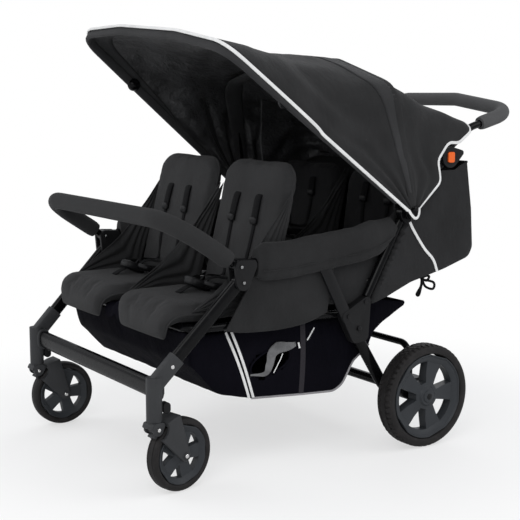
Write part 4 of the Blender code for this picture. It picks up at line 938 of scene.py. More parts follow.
def frontRim():
    half, rim, hub, inner, outer = wheelSizes(frontWheel)
    middle = (inner + outer) / 2
    profile = (
        (0.0, half - 0.0010), (0.011, half - 0.0010), (hub, half - 0.0022), (0.019, half - 0.0062),
        (inner, half - 0.0075), (middle, half - 0.0090), (outer, half - 0.0085), (0.0600, half - 0.0045),
        (0.0655, half - 0.0012), (rim, half - 0.0020), (rim, 0.0020 - half), (0.0655, 0.0012 - half),
        (0.0600, 0.0045 - half), (outer, 0.0085 - half), (middle, 0.0090 - half), (inner, 0.0075 - half),
        (0.019, 0.0062 - half), (hub, 0.0010 - half), (0.0, 0.0010 - half),
    )
    return spokedRim(profile, 4, 13, 5, 0.0265, 10, inner, 0.10)


def bothFlanks(flank, half):
    # a tyre's section: one flank, with its widths as shares of half, and its mirror image
    section = [(radius, share * half) for radius, share in flank]
    return [*section, *[(radius, -x) for radius, x in reversed(section)]]


def treadedTyre():
    # shoulder blocks on both sides of a ribbed middle, each block with a groove after it
    inner, outer, half = rearWheel["rim"] + 0.0004, rearWheel["radius"], rearWheel["half"]
    height = outer - inner
    flank = (
        (inner, 0.76), (inner + height * 0.10, 0.90), (inner + height * 0.30, 0.985),
        (inner + height * 0.50, 1.0), (inner + height * 0.66, 0.975), (outer - height * 0.17, 0.90),
        (outer - height * 0.155, 0.885), (outer - height * 0.05, 0.74), (outer - height * 0.01, 0.60),
        (outer, 0.44), (outer, 0.40), (outer, 0.33), (outer, 0.29), (outer, 0.12),
    )
    section = bothFlanks(flank, half)
    steps = rearWheel["blocks"] * 4
    rings = []
    for step in range(steps):
        turn = 2 * math.pi * step / steps
        ring = []
        for index, (radius, x) in enumerate(section):
            place = min(index, len(section) - 1 - index)
            phase = (step + (2 if x < 0 else 0)) % 4
            cut = 0.0
            if place in (6, 7, 8, 9) and phase == 3:
                cut = rearWheel["tread"] * (0.55 if place == 6 else 1.0)
            if place in (10, 11):
                cut = rearWheel["tread"]
            if place in (12, 13) and phase == 1:
                cut = rearWheel["tread"] * 0.5
            reach = radius - cut
            ring.append(Vector((x, reach * math.cos(turn), reach * math.sin(turn))))
        rings.append(ring)
    return skin(rings, looped=True)


def ribbedTyre():
    inner, outer, half = frontWheel["rim"] + 0.0004, frontWheel["radius"], frontWheel["half"]
    height = outer - inner
    flank = (
        (inner, 0.76), (inner + height * 0.14, 0.90), (inner + height * 0.38, 1.0),
        (inner + height * 0.60, 0.985), (outer - height * 0.22, 0.88), (outer - height * 0.10, 0.76),
        (outer - height * 0.03, 0.60), (outer - height * 0.01, 0.48), (outer - height * 0.10, 0.45),
        (outer - height * 0.10, 0.40), (outer, 0.36), (outer, 0.14),
    )
    return turned(bothFlanks(flank, half), 96, closed=True)


def addWheels():
    for hand, word in sides:
        place = Vector((hand * rearWheel["x"], axle["y"], rearWheel["radius"]))
        body = word + "_rear_wheel"
        rim = placed(flipped(rearRim(), hand), place)
        stands = [word + "_rear_rim"]
        addPiece(body + "_rim", rim, "rim", body, stands, sharp=32, bevel=0.0009)
        tyre = placed(treadedTyre(), place)
        addPiece(body + "_tyre", tyre, "tyre", body, [word + "_rear_tyre"], sharp=30)
        dome = ((0.0, 0.0022), (0.0062, 0.0018), (0.0078, 0.0006), (0.0082, -0.0006), (0.0, -0.0006))
        face = place + Vector((hand * (rearWheel["half"] + 0.0012), 0, 0))
        cap = placed(flipped(turned(dome, 32), hand), face)
        addPiece(word + "_hub_cap", cap, "joint", body)

        # the left front wheel is swivelled, as in the drawing
        pivot = Matrix.Rotation(stem["turn"] if hand > 0 else 0.0, 4, "Z")
        foot = Vector((hand * stem["x"], stem["y"], 0))
        hub = foot + pivot @ Vector((0, frontWheel["trail"], frontWheel["radius"]))
        body = word + "_front_wheel"
        rim = placed(frontRim(), hub, pivot)
        stands = [word + "_front_rim"]
        addPiece(body + "_rim", rim, "rim", body, stands, sharp=32, bevel=0.0007)
        tyre = placed(ribbedTyre(), hub, pivot)
        addPiece(body + "_tyre", tyre, "tyre", body, [word + "_front_tyre"], sharp=34)
        pinFace, pinY, pinZ = frontWheel["pin"]
        for out in (1, -1):
            end = "outer" if out == hand else "inner"
            armPlace = pivot @ Vector((out * frontWheel["armFace"], 0, 0)) + hub
            bolt = placed(flipped(boltHead(0.0052, 0, 0, 0, 1, 0.0020), out), armPlace, pivot)
            addPiece(f"{word}_wheel_bolt_{end}", bolt, "steel", word + "_arm")
            pinPlace = foot + pivot @ Vector((out * pinFace, pinY, pinZ))
            pin = placed(flipped(boltHead(0.0046, 0, 0, 0, 1, 0.0018), out), pinPlace, pivot)
            addPiece(f"{word}_pin_head_{end}", pin, "steel", word + "_caster")


addWheels()
print("wheels made")


# Moulded pieces that keep their solids, with softened edges

kept = (
    # node, finish, width of the rounds
    ("caster_fork", "caster", 0.0012),
    ("caster_arm", "caster", 0.0012),
    ("caster_housing", "caster", 0.0012),
    ("swivel_lock", "joint", 0.0010),
    ("fold_plate", "joint", 0.0016),
    ("arm_joint", "joint", 0.0014),
    ("handle_hinge", "joint", 0.0014),
    ("handle_button", "button", 0.0009),
)
rivet = {"radius": 0.0038, "out": 0.0114}


def dressNode(name, finish, width):
    # a carried-over solid: joined points, flat faces made whole, and small rounds on its edges
    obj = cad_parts[name]
    obj.data.materials.clear()
    obj.data.materials.append(finishes[finish])
    obj.data.shade_smooth()
    weld = obj.modifiers.new("weld", "WELD")
    weld.merge_threshold = 1e-6
    flat = obj.modifiers.new("flats", "DECIMATE")
    flat.decimate_type = "DISSOLVE"
    flat.angle_limit = math.radians(1.0)
    if width:
        softened(obj, width, 38)


def addKept():
    for hand, word in sides:
        for name, finish, width in kept:
            dressNode(word + "_" + name, finish, width)
        for index, place in enumerate((side["leg"], side["bumper"])):
            for reach, letter in ((1, "a"), (-1, "b")):
                x = hand * side["x"] + reach * (side["eye"] + rivet["out"])
                shape = boltHead(rivet["radius"], x, *place, reach)
                addPiece(f"{word}_joint_rivet_{index}{letter}", shape, "dullSteel", "frame")
        top, root = legLine(hand)
        spot = root.lerp(top, 0.17)
        bolt = boltHead(0.0046, hand * (stem["x"] + stem["wide"] + 0.0053), spot.y, spot.z, hand)
        addPiece(word + "_socket_bolt", bolt, "steel", "front_legs")
    dressNode("brake_pedal", "joint", 0.0012)
    dressNode("cross_tube", "tube", 0.0)


addKept()
print("moulded pieces dressed")


# Cloth helpers


def ripple(point, scale, seed=0.0):
    return noise.noise(Vector((point.x * scale + seed, point.y * scale + 2.3 * seed, point.z * scale - seed)))


def pushed(rows, amount):
    # moves each point along the sheet's normal by what amount returns for it
    result = []
    last = len(rows) - 1
    end = len(rows[0]) - 1
    for r, row in enumerate(rows):
        line = []
        for c, point in enumerate(row):
            along = rows[min(r + 1, last)][c] - rows[max(r - 1, 0)][c]
            over = row[min(c + 1, end)] - row[max(c - 1, 0)]
            normal = over.cross(along)
            normal = normal.normalized() if normal.length > 1e-9 else Vector((0, 0, 1))
            line.append(point + normal * amount(r / last, c / end, point))
        result.append(line)
    return result


def lengthOf(route):
    return sum((b - a).length for a, b in zip(route, route[1:]))


def bandOn(name, route, wide, thick, finish, body, across=(1, 0, 0), count=None):
    # a flat binding tape folded over an edge
    route = resampled(route, count or max(24, int(lengthOf(route) / 0.008)))
    return addPiece(name, swept(route, oval(wide / 2, thick / 2, 12, 0.7), across), finish, body)


def heightOn(profile, y):
    for (y0, z0), (y1, z1) in zip(profile, profile[1:]):
        if y <= y1:
            return z0 + (z1 - z0) * (y - y0) / (y1 - y0)
    return profile[-1][1]


# Hood

hood = {
    "pivot": side["hood"],
    "frontX": 0.3742, "midX": 0.3650, "taper": 0.012,
    # a bow's reach, angle and arch, and the depth of its sleeve with the share kept at its ends
    "front": (0.661, math.radians(141.4), 0.020), "frontSleeve": (0.0125, 0.80),
    "mid": (0.310, math.radians(100.5), 0.060), "midSleeve": (0.0330, 0.45),
    "corner": 0.062, "rack": 0.030, "thin": 0.0043, "deep": 0.0075, "eye": 0.013,
    "columns": 121, "start": 0.022, "rise": 0.0148, "cloth": 0.0022,
    "lining": 0.0075, "cavity": Vector((0.0, 0.02, 0.52)), "studAt": 0.71,
    "stud": ((0, -0.014), (0.008, -0.0132), (0.0140, -0.0095), (0.0168, -0.004), (0.0174, 0.0),
             (0.0174, 0.004), (0, 0.004)),
    # from behind the hub, round the front of the handle hinge and across over the handle's tubes
    "rearEdge": ((0.3720, 0.198, 0.603), (0.3660, 0.272, 0.664), (0.3655, 0.261, 0.716),
                 (0.3650, 0.296, 0.760), (0.3640, 0.330, 0.757), (0.3590, 0.380, 0.788),
                 (0.3400, 0.374, 0.806), (0.1600, 0.385, 0.838)),
    "hubBinding": ((0.3790, 0.1520, 0.6100), (0.3830, 0.1680, 0.5860), (0.3830, 0.1800, 0.5800),
                   (0.3810, 0.1900, 0.5900), (0.3722, 0.1990, 0.6040)),
}
curtain = {
    "x": 0.298, "sideY": 0.182, "cornerY": 0.366, "backX": 0.100, "backY": 0.369,
    "corner": 0.05, "crown": 0.020, "rack": 0.010,
    "foot": ((0.182, 0.585), (0.285, 0.676), (0.330, 0.676), (0.372, 0.700)),
    "head": ((0.182, 0.855), (0.270, 0.834), (0.372, 0.800)),
}


def racked(point):
    reach = math.dist((point.y, point.z), hood["pivot"]) / hood["front"][0]
    return Vector((point.x, point.y, point.z - hood["rack"] * reach * point.x / hood["frontX"]))


def bowRoute(x, reach, angle, arch, start=0.0, steps=10):
    along = heading(angle)
    hub = yz(hood["pivot"])
    half = [
        hub + along * start + Vector((x, 0, 0)),
        hub + along * 0.045 + Vector((x, 0, 0)),
        hub + along * reach + Vector((x - hood["taper"], 0, 0)),
        hub + along * reach + Vector((0.14, 0, arch)),
    ]
    return [racked(p) for p in rounded(mirrored(half), hood["corner"], steps)]


def clothEdge(reach, angle, arch, forward):
    x = hood["frontX"] + hood["thin"] + hood["cloth"] / 2 + 0.0008
    across = Vector((0, math.sin(angle), -math.cos(angle))) * forward
    edge = []
    for point in resampled(bowRoute(x, reach, angle, arch, hood["start"]), hood["columns"]):
        inwards = max(0.0, x - abs(point.x) - hood["taper"] / 2) / hood["corner"]
        edge.append(point + across + Vector((0, 0, hood["rise"] * min(1.0, inwards) ** 0.18)))
    return edge


def rearEdge():
    half = [Vector(place) for place in hood["rearEdge"]]
    return resampled(rounded(mirrored(half), 0.020, 8), hood["columns"])


def between(first, last, count, sag):
    rows = []
    inside = yz((0.05, 0.55))
    for step in range(count + 1):
        share = step / count
        row = []
        for a, b in zip(first, last):
            point = a.lerp(b, share)
            above = max(0.0, min(1.0, (point.z - hood["pivot"][1] - 0.03) / 0.15))
            row.append(point + (inside - point).normalized() * (sag * math.sin(math.pi * share) ** 2 * above))
        rows.append(row)
    return rows


def hoodFolds(strength, seed):
    # long soft folds that run from the hubs towards the roof, slack in the middle of a panel
    def amount(v, u, point):
        free = math.sin(math.pi * v) ** 0.8
        flank = abs(2 * u - 1)
        along = 3.1 * v + 1.6 * ripple(point, 4.0, seed)
        fold = math.sin(2 * math.pi * (along + 0.35 * flank))
        return strength * free * ((0.35 + 0.65 * flank) * fold + 0.8 * ripple(point, 11.0, seed + 3))

    return amount


def addCurtain():
    # the inner cloth that closes the hood down to the tub, along both sides and across the back
    wide = curtain["x"]
    places = ((wide, curtain["sideY"]), (wide, curtain["cornerY"]), (curtain["backX"], curtain["backY"]))
    half = [Vector((x, y, 0)) for x, y in places]
    route = resampled(rounded(mirrored(half), curtain["corner"], 8), 150)
    lower = [Vector((p.x, p.y, heightOn(curtain["foot"], p.y))) for p in route]
    upper = []
    for p in route:
        across = p.x / wide
        roof = heightOn(curtain["head"], p.y) + curtain["crown"] * (1 - across**2) - curtain["rack"] * across
        upper.append(Vector((p.x, p.y, roof)))
    cloth = sheetFrom(pushed(lofted(lower, upper, 32), hoodFolds(0.0060, 21.0)))
    return addPiece("hood_curtain", cloth, "lining", None, sharp=60, thick=0.0012)


def addHood():
    hub = yz(hood["pivot"])
    for name in ("front", "mid"):
        x = hood[name + "X"]
        reach, angle, arch = hood[name]
        shapes = [swept(bowRoute(x, reach, angle, arch, steps=16), oval(hood["thin"], hood["deep"], 20, 0.8))]
        for hand in (1, -1):
            inner, outer = hand * x - hood["thin"], hand * x + hood["thin"]
            shapes.append(disc(hood["eye"], inner, outer, hood["pivot"], 0.001, 32))
            if name == "front":
                stud = flipped(turned(hood["stud"], 28), hand)
                drawnIn = hood["taper"] * hood["studAt"] + 0.002
                spot = hub + heading(angle) * reach * hood["studAt"] + Vector((hand * (x - drawnIn), 0, 0))
                shapes.append(placed(stud, racked(spot)))
        body = "hood_" + name
        addPiece(body + "_hoop", together(*shapes), "tube", body, [body + "_bow"])

    for name in ("front", "mid"):
        deep, narrow = hood[name + "Sleeve"]

        def size(share):
            return narrow + (1 - narrow) * min(1.0, 4.2 * min(share, 1 - share))

        route = resampled(trimmed(bowRoute(hood[name + "X"], *hood[name], steps=16), 0.060, 0.060), 140)
        sleeve = swept(route, oval(hood["thin"] + 0.0020, deep, 24, 0.7), sizes=size)
        addPiece(f"hood_{name}_sleeve", sleeve, "band", "hood_" + name, sharp=60)

    frontEdge = clothEdge(*hood["front"], 0.0)
    midEdge = clothEdge(*hood["mid"], 0.0)
    outer = pushed(between(frontEdge, midEdge, 34, 0.014), hoodFolds(0.0032, 1.0))
    rear = pushed(between(midEdge, rearEdge(), 22, 0.008), hoodFolds(0.0028, 5.0))
    canopy, back = [
        addPiece(name, sheetFrom(rows), "hood", None, [stands], 60, hood["cloth"])
        for name, rows, stands in (
            ("hood_canopy", outer, "hood_front_panel"),
            ("hood_back", rear, "hood_rear_panel"),
        )
    ]

    cavity = hood["cavity"]
    linings = []
    for name, rows, seed, strength in (("front", outer, 9.0, 0.0075), ("rear", rear, 12.0, 0.005)):
        inner = [[p + (cavity - p).normalized() * hood["lining"] for p in row] for row in rows]
        wrinkled = sheetFrom(pushed(inner, hoodFolds(strength, seed)))
        linings.append(addPiece(f"hood_lining_{name}", wrinkled, "lining", None, sharp=60))

    # a band of thicker cloth over the mid bow, and the facing under the front edge
    band = [[p + (p - cavity).normalized() * 0.0022 for p in row[3:-3]] for row in outer[-6:]]
    facing = [[p + (cavity - p).normalized() * (hood["lining"] + 0.0035) for p in row] for row in outer[:5]]
    doubled = [
        addPiece(name, sheetFrom(rows), "band", None, sharp=60, thick=thick)
        for name, rows, thick in (("hood_bow_band", band, 0.0010), ("hood_facing", facing, 0.0012))
    ]

    for obj in (canopy, linings[0], *doubled):
        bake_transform(obj)
    for obj in (back, linings[1], addCurtain()):
        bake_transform(obj)

    reach, angle, arch = hood["front"]
    ahead = Vector((0, -math.sin(angle), math.cos(angle)))
    tape = [p + ahead * 0.0010 for p in clothEdge(reach, angle, arch, -0.001)]
    bandOn("hood_front_binding", tape, 0.0046, 0.0080, "tape", "hood_front")
    bandOn("hood_rear_binding", rearEdge(), 0.0042, 0.0074, "tape", "frame")
    for hand, word in sides:
        line = smoothCurve([Vector((hand * x, y, z)) for x, y, z in hood["hubBinding"]], 30)
        bandOn(f"{word}_hub_binding", line, 0.0034, 0.0070, "tape", "frame", (hand, 0, 0))
    strip = [p + Vector((0, 0, 0.0006)) for p in midEdge]
    bandOn("hood_mid_binding", strip, 0.0050, 0.0230, "hood", "hood_mid")


addHood()
print("hood made")


# Seats

seats = {
    "inner": 0.014, "outer": 0.318,
    "cushion": 0.046, "back": 0.040, "shoulder": (0.050, 0.052), "nose": (0.036, 0.055),
    "frontCushion": ((-0.450, 0.330), (-0.450, 0.3930), (-0.200, 0.3935)),
    "frontTop": (-0.118, 0.722), "frontWing": 0.80, "frontCloth": "seat",
    "rearCushion": ((-0.012, 0.392), (-0.008, 0.4575), (0.232, 0.4620)),
    # the rear row's cloth is darker with painted shade
    "rearTop": (0.268, 0.690), "rearWing": 0.95, "rearCloth": "shadeSeat",
}


def backBase(row):
    # where a row's backs stand on its cushions, in the side view
    return yz(seats[row + "Cushion"][-1]) + Vector((0, 0.0006, 0.0006))


def halfShare(v, length, width, corner):
    # the share of its width that a pad has at v, from -1 at its start to 1 at its end with the round corners
    share = 1 - 0.06 * v**8
    reach = (1 - v) * length / 2
    if corner and reach < corner[1]:
        share *= 1 - 2 * corner[0] / width * (1 - math.sqrt(max(0.0, 1 - (1 - reach / corner[1]) ** 2)))
    return share


def noseShare(y, front, width):
    # the share of its width that a cushion keeps near its front edge, whose corners are round
    ahead = max(0.0, min(1.0, 1 - (y - front) / seats["nose"][1]))
    return 1 - 2 * seats["nose"][0] / width * (1 - math.sqrt(1 - ahead**2))


def padShape(width, route, thick, corner=None, front=None, rows=44, columns=30):
    # a closed pad about x 0 along a route in the side view, full in the middle and drawn in to a seam
    points = resampled(route, rows + 1)
    length = lengthOf(route)
    frames = carriedFrames(points, (1, 0, 0))
    found = {}
    verts = []

    def vert(layer, row, column):
        edge = row in (0, rows) or column in (0, columns)
        key = (0 if edge else layer, row, column)
        if key not in found:
            u = 2 * column / columns - 1
            v = 2 * row / rows - 1
            wide = halfShare(v, length, width, corner)
            if front is not None:
                wide *= noseShare(points[row].y, front, width)
            height = math.sqrt(max(0.0, (1 - u**8) * (1 - abs(v) ** 9)))
            rise = (0.5 if layer else -0.5) * thick * height * (1 - 0.14 * u * u)
            place = points[row] + Vector((u * width / 2 * wide, 0, 0)) + frames[row][1] * rise
            found[key] = len(verts)
            verts.append(place)
        return found[key]

    faces = []
    for layer in (0, 1):
        for row in range(rows):
            for column in range(columns):
                corners = ((row, column), (row, column + 1), (row + 1, column + 1), (row + 1, column))
                faces.append(tuple(vert(layer, *place) for place in corners))
    return verts, faces


def puffed(name, shape, pressure, cap, held, voxel=0.0055):
    # swells a pad with cloth simulation, and returns it as a shape. Its seam holds it along the axes in held
    obj = linked(name, meshOf(name, shape))
    bpy.context.view_layer.objects.active = obj
    remesh = obj.modifiers.new("remesh", "REMESH")
    remesh.mode = "VOXEL"
    remesh.voxel_size = voxel
    bpy.context.view_layer.update()
    start = bpy.data.meshes.new_from_object(obj.evaluated_get(bpy.context.evaluated_depsgraph_get()))
    obj.modifiers.clear()
    obj.data = start
    cloth = obj.modifiers.new("cloth", "CLOTH")
    settings = {
        "quality": 5, "use_pressure": True, "uniform_pressure_force": pressure, "tension_stiffness": 22.0,
        "compression_stiffness": 14.0, "bending_stiffness": 0.4, "shrink_min": -0.02,
    }
    for key, value in settings.items():
        setattr(cloth.settings, key, value)
    cloth.settings.effector_weights.gravity = 0.0
    steps = 20
    cloth.point_cache.frame_start = 1
    cloth.point_cache.frame_end = steps
    scene = bpy.context.scene
    for step in range(steps):
        scene.frame_set(step + 1)
    graph = bpy.context.evaluated_depsgraph_get()
    swollen = bpy.data.meshes.new_from_object(obj.evaluated_get(graph))
    points = []
    for before, after in zip(start.vertices, swollen.vertices):
        move = after.co - before.co
        for axis in held:
            move -= axis * (0.80 * move.dot(axis))
        if move.length > cap:
            move *= cap / move.length
        points.append(before.co + move)
    faces = [tuple(face.vertices) for face in swollen.polygons]
    scene.frame_set(1)
    bpy.data.objects.remove(obj, do_unlink=True)
    return points, faces


def sewn(shape, lines, depth, width):
    # presses sewn channels into a pad. A line gives a point's distance from its seam, and the way inwards
    points = []
    for point in shape[0]:
        point = Vector(point)
        for line in lines:
            away, inwards = line(point)
            point = point + inwards * (depth * math.exp(-((away / width) ** 2)))
        points.append(point)
    return points, shape[1]


def seamTube(pad, width, route, corner=None, front=None, radius=0.0021, rows=80):
    # the cord sewn round a pad's edge, as a closed ring that lies on the pad
    points = resampled(route, rows + 1)
    length = lengthOf(route)
    left = []
    right = []
    for row, point in enumerate(points):
        wide = halfShare(2 * row / rows - 1, length, width, corner)
        if front is not None:
            wide *= noseShare(point.y, front, width)
        left.append(point + Vector((-width / 2 * wide, 0, 0)))
        right.append(point + Vector((width / 2 * wide, 0, 0)))
    ring = resampled([*left, *right[::-1], left[0]], 2 * rows)[:-1]
    skinOf = BVHTree.FromPolygons(pad[0], [tuple(dict.fromkeys(face)) for face in pad[1]])
    ring = [skinOf.find_nearest(point)[0] for point in ring]
    for smoothing in range(3):
        ahead = [*ring[1:], ring[0]]
        ring = [(ring[index - 1] + 2 * point + ahead[index]) / 4 for index, point in enumerate(ring)]
    rings = []
    for index, point in enumerate(ring):
        along = (ring[(index + 1) % len(ring)] - ring[index - 1]).normalized()
        first = along.cross(Vector((0, -0.6, 0.8))).normalized()
        second = along.cross(first)
        rings.append([point + first * a + second * b for a, b in oval(radius, radius, 8)])
    return skin(rings, looped=True)


def addWings(row):
    # the gathered cloth that closes the corner between a back and its cushion, on both sides of a seat
    base = backBase(row)
    corner = seats[row + "Cushion"][1]
    tip = base.lerp(yz(seats[row + "Top"]), seats[row + "Wing"])
    toe = yz((corner[0] + 0.044, corner[1] + 0.006))
    heel = base + Vector((0, -0.012, 0.006))
    lower = resampled([tip, heel, toe], 60)
    upper = smoothCurve([tip, tip.lerp(toe, 0.5) + Vector((0, 0.010, -0.022)), toe], 60)
    for hand, word in sides:
        for place, x in (("outer", seats["outer"] - 0.006), ("inner", seats["inner"] - 0.007)):
            rows = [[p + Vector((hand * x, 0, 0)) for p in line] for line in lofted(lower, upper, 24, 0.02)]

            def gathers(v, u, point):
                free = math.sin(math.pi * u) ** 0.6 * min(1.0, 3 * v)
                fold = math.sin(2 * math.pi * (3.4 * v + 0.9 * ripple(point, 7.0, 3.0 + x)))
                return 0.0034 * free * (fold + 0.6 * ripple(point, 24.0, 8.0))

            name = f"{word}_{row}_{place}_wing"
            cloth = sheetFrom(pushed(rows, gathers))
            wing = addPiece(name, cloth, "gusset", None, sharp=60, thick=0.0016)
            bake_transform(wing)


def addSeats():
    width = seats["outer"] - seats["inner"]
    middle = (seats["outer"] + seats["inner"]) / 2
    for row in ("front", "rear"):
        cushion = seats[row + "Cushion"]
        line = rounded([yz(p) for p in cushion], 0.035, 10)
        base = backBase(row)
        top = yz(seats[row + "Top"])
        tall = (top - base).length
        lean = (top - base).normalized()
        facing = Vector((1, 0, 0)).cross(lean)

        def intoBack(point):
            return facing if (point - base).dot(facing) < 0 else Vector()

        def channel(offset, highest):
            def test(point):
                along = (point - base).dot(lean)
                return math.hypot(point.x - offset, max(0.0, -along, along - highest)), intoBack(point)
            return test

        def level(height, reach):
            def test(point):
                along = (point - base).dot(lean) - height
                return math.hypot(along, max(0.0, abs(point.x) - reach)), intoBack(point)
            return test

        def across(point):
            inwards = Vector((0, 0, -1)) if point.z > cushion[-1][1] else Vector()
            return abs(point.y - (cushion[-1][0] - 0.072)), inwards

        channels = [channel(0.098, tall * 0.62), channel(-0.098, tall * 0.62), level(tall * 0.20, 0.098)]
        onCushion = ([across], 0.0045, 0.0070)
        onBack = (channels, 0.0055, 0.0065)
        for kind, route, thick, corner, nose, held, seams in (
            ("cushion", line, seats["cushion"], None, cushion[0][0], (), onCushion),
            ("back", [base, top], seats["back"], seats["shoulder"], None, (lean,), onBack),
        ):
            shape = padShape(width - 0.006, route, thick * 0.80, corner, nose)
            shape = puffed(f"{row}_{kind}_puff", shape, 4.0, 0.006, [Vector((1, 0, 0)), *held])
            shape = sewn(shape, *seams)
            cloth = seats[row + "Cloth"]
            for hand, word in sides:
                body = "frame" if kind == "cushion" else f"{word}_{row}_recline"
                name = f"{word}_{row}_{kind}"
                here = placed(shape, (hand * middle, 0, 0))
                smooth = 1
                pad = addPiece(name + "_pad", here, cloth, body, [name], 70, rounds=smooth)
                cord = placed(seamTube(shape, width - 0.004, route, corner, nose), (hand * middle, 0, 0))
                addPiece(name + "_seam", cord, cloth, body, sharp=70)
        addWings(row)


def addCentreCloth():
    # the cloth that joins the two cushions of a row, and hangs down in front of the seat tube
    half, crown = 0.055, 0.012
    places = ((-0.205, 0.3705), (-0.428, 0.3705), (-0.4400, 0.3600), (-0.4420, 0.3360))
    line = rounded([yz(p) for p in places], 0.010, 6)
    ridge = []
    for step in range(33):
        x = half * (step / 16 - 1)
        ridge.append(Vector((x, 0, crown * math.exp(-((x / 0.013) ** 2)))))
    rows = sheetFrom([[point + up for up in ridge] for point in resampled(line, 40)])
    cloth = addPiece("front_centre_cloth", rows, "basket", "frame", sharp=60, thick=0.0014)


addSeats()
addCentreCloth()
print("seats made")


# Harness: shoulder straps with pads, lap straps, buckle and crotch strap

belt = {
    "wide": 0.0190, "thick": 0.0018, "middle": 0.166, "frontSlot": 0.74, "rearSlot": 0.80,
    # on a back pad: x from the seat's middle, share of the height below the slots, lift off the cloth
    "padFace": 0.020, "slot": (0.047, 0.0, -0.003), "shoulder": (0.047, 0.03, 0.0045),
    "padEnd": (0.049, 0.17, 0.0055), "adjuster": (0.0495, 0.19, 0.007),
    "chest": ((0.050, 0.20, 0.0040), (0.047, 0.42, 0.0040), (0.036, 0.60, 0.0060)),
    # from the foot of the back, and then from the buckle
    "buckle": (-0.106, 0.040), "lapEnd": (0.124, -0.024, 0.026), "crotch": (-0.055, 0.0245),
    "toBuckle": ((0.018, 0.034, 0.016), (0.010, 0.010, 0.004)), "tongue": (0.050, 0.010, 0.001),
    "lap": ((0.012, 0.004, 0.0), (0.048, 0.012, 0.0), (0.092, 0.050, -0.003)),
}
blocks = {
    "adjuster": (0.0135, 0.0040, 0.0090), "tongue": (0.0190, 0.0055, 0.0165),
    "buckle": (0.0270, 0.0100, 0.0300), "button": (0.0105, 0.0040, 0.0125),
}


def strapAlong(points, wide, thick, count=40):
    route = smoothCurve(points, count)
    return swept(route, oval(wide / 2, thick / 2, 10, 0.45))


def roundedBlock(centre, half, turn=None):
    # a moulded block with rounded corners in front view
    section = oval(half[0], half[2], 20, 0.55)
    rings = []
    for depth, size in ((-1.0, 0.86), (-0.7, 0.98), (0.0, 1.0), (0.7, 0.98), (1.0, 0.86)):
        rings.append([Vector((a * size, depth * half[1], b * size)) for a, b in section])
    return placed(skin(rings), centre, turn)


def beside(origin, reach, place):
    # a place beside an origin, mirrored where reach is -1
    return origin + Vector((reach * place[0], place[1], place[2]))


def addHarness():
    for row in ("front", "rear"):
        base = backBase(row)
        lean = yz(seats[row + "Top"]) - base
        out = Vector((0, -lean.z, lean.y)).normalized()
        up = lean.normalized()
        slotShare = belt[row + "Slot"]

        def onPad(centre, reach, place):
            x, below, lift = place
            foot = base + Vector((centre + reach * x, 0, 0))
            return foot + lean * (slotShare - below) + out * (belt["padFace"] + lift)

        for hand, word in sides:
            centre = hand * belt["middle"]
            buckle = base + Vector((centre, *belt["buckle"]))
            shapes = []
            pads = []
            clips = []
            for reach in (1, -1):
                slot, shoulder, padEnd, adjuster = [
                    onPad(centre, reach, belt[key]) for key in ("slot", "shoulder", "padEnd", "adjuster")
                ]
                pads.append(strapAlong([slot, shoulder, padEnd], belt["wide"] * 1.30, 0.0065, 24))
                mouth = [slot + up * 0.004, slot - up * 0.004]
                shapes.append(strapAlong(mouth, belt["wide"] * 1.8, 0.0080, 6))
                strap = [slot, shoulder, *[onPad(centre, reach, place) for place in belt["chest"]]]
                strap += [beside(buckle, reach, place) for place in belt["toBuckle"]]
                shapes.append(strapAlong(strap, belt["wide"] * 0.62, belt["thick"]))
                clips.append(roundedBlock(adjuster, blocks["adjuster"]))
                lap = [beside(buckle, reach, place) for place in belt["lap"]]
                lap.append(beside(base + Vector((centre, 0, 0)), reach, belt["lapEnd"]))
                shapes.append(strapAlong(lap, belt["wide"] * 0.9, belt["thick"]))
                splay = Matrix.Rotation(reach * math.radians(18), 4, "Y")
                tipped = Matrix.Rotation(math.radians(62), 4, "X") @ splay
                clips.append(roundedBlock(beside(buckle, reach, belt["tongue"]), blocks["tongue"], tipped))
            root = Vector((centre, buckle.y + belt["crotch"][0], base.z + belt["crotch"][1]))
            crotch = [root, root.lerp(buckle, 0.5) + Vector((0, 0, 0.004)), buckle]
            shapes.append(strapAlong(crotch, belt["wide"] * 1.2, belt["thick"] * 1.3))
            tipped = Matrix.Rotation(math.radians(66), 4, "X")
            clips.append(roundedBlock(buckle, blocks["buckle"], tipped))
            clips.append(roundedBlock(buckle + Vector((0, -0.003, 0.0095)), blocks["button"], tipped))

            name = f"{word}_{row}"
            back = name + "_recline"
            stands = [word + "_harness"] if row == "front" else []
            straps = addPiece(name + "_straps", together(*shapes), "web", None, stands, 60)
            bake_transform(straps)
            padded = addPiece(name + "_shoulder_pads", together(*pads), "web", back, sharp=60)
            adjusters = together(*clips[:1], *clips[2:3])
            addPiece(name + "_buckles", adjusters, "joint", back, sharp=50)
            lapBuckle = together(clips[1], *clips[3:])
            addPiece(name + "_lap_buckle", lapBuckle, "joint", "frame", sharp=50)


addHarness()
print("harness made")


# Side covers, basket and rear tub

cover = {
    "x": 0.3355, "frontCut": 0.006, "rearCut": 0.040, "halfWidth": 0.0205, "halfHeight": 0.044,
    "sheet": 0.003,
    "upper": ((-0.252, 0.478), (-0.150, 0.470), (-0.030, 0.486)),
    "lower": ((-0.330, 0.354), (-0.285, 0.346), (-0.190, 0.3425), (-0.110, 0.350), (-0.052, 0.369)),
}


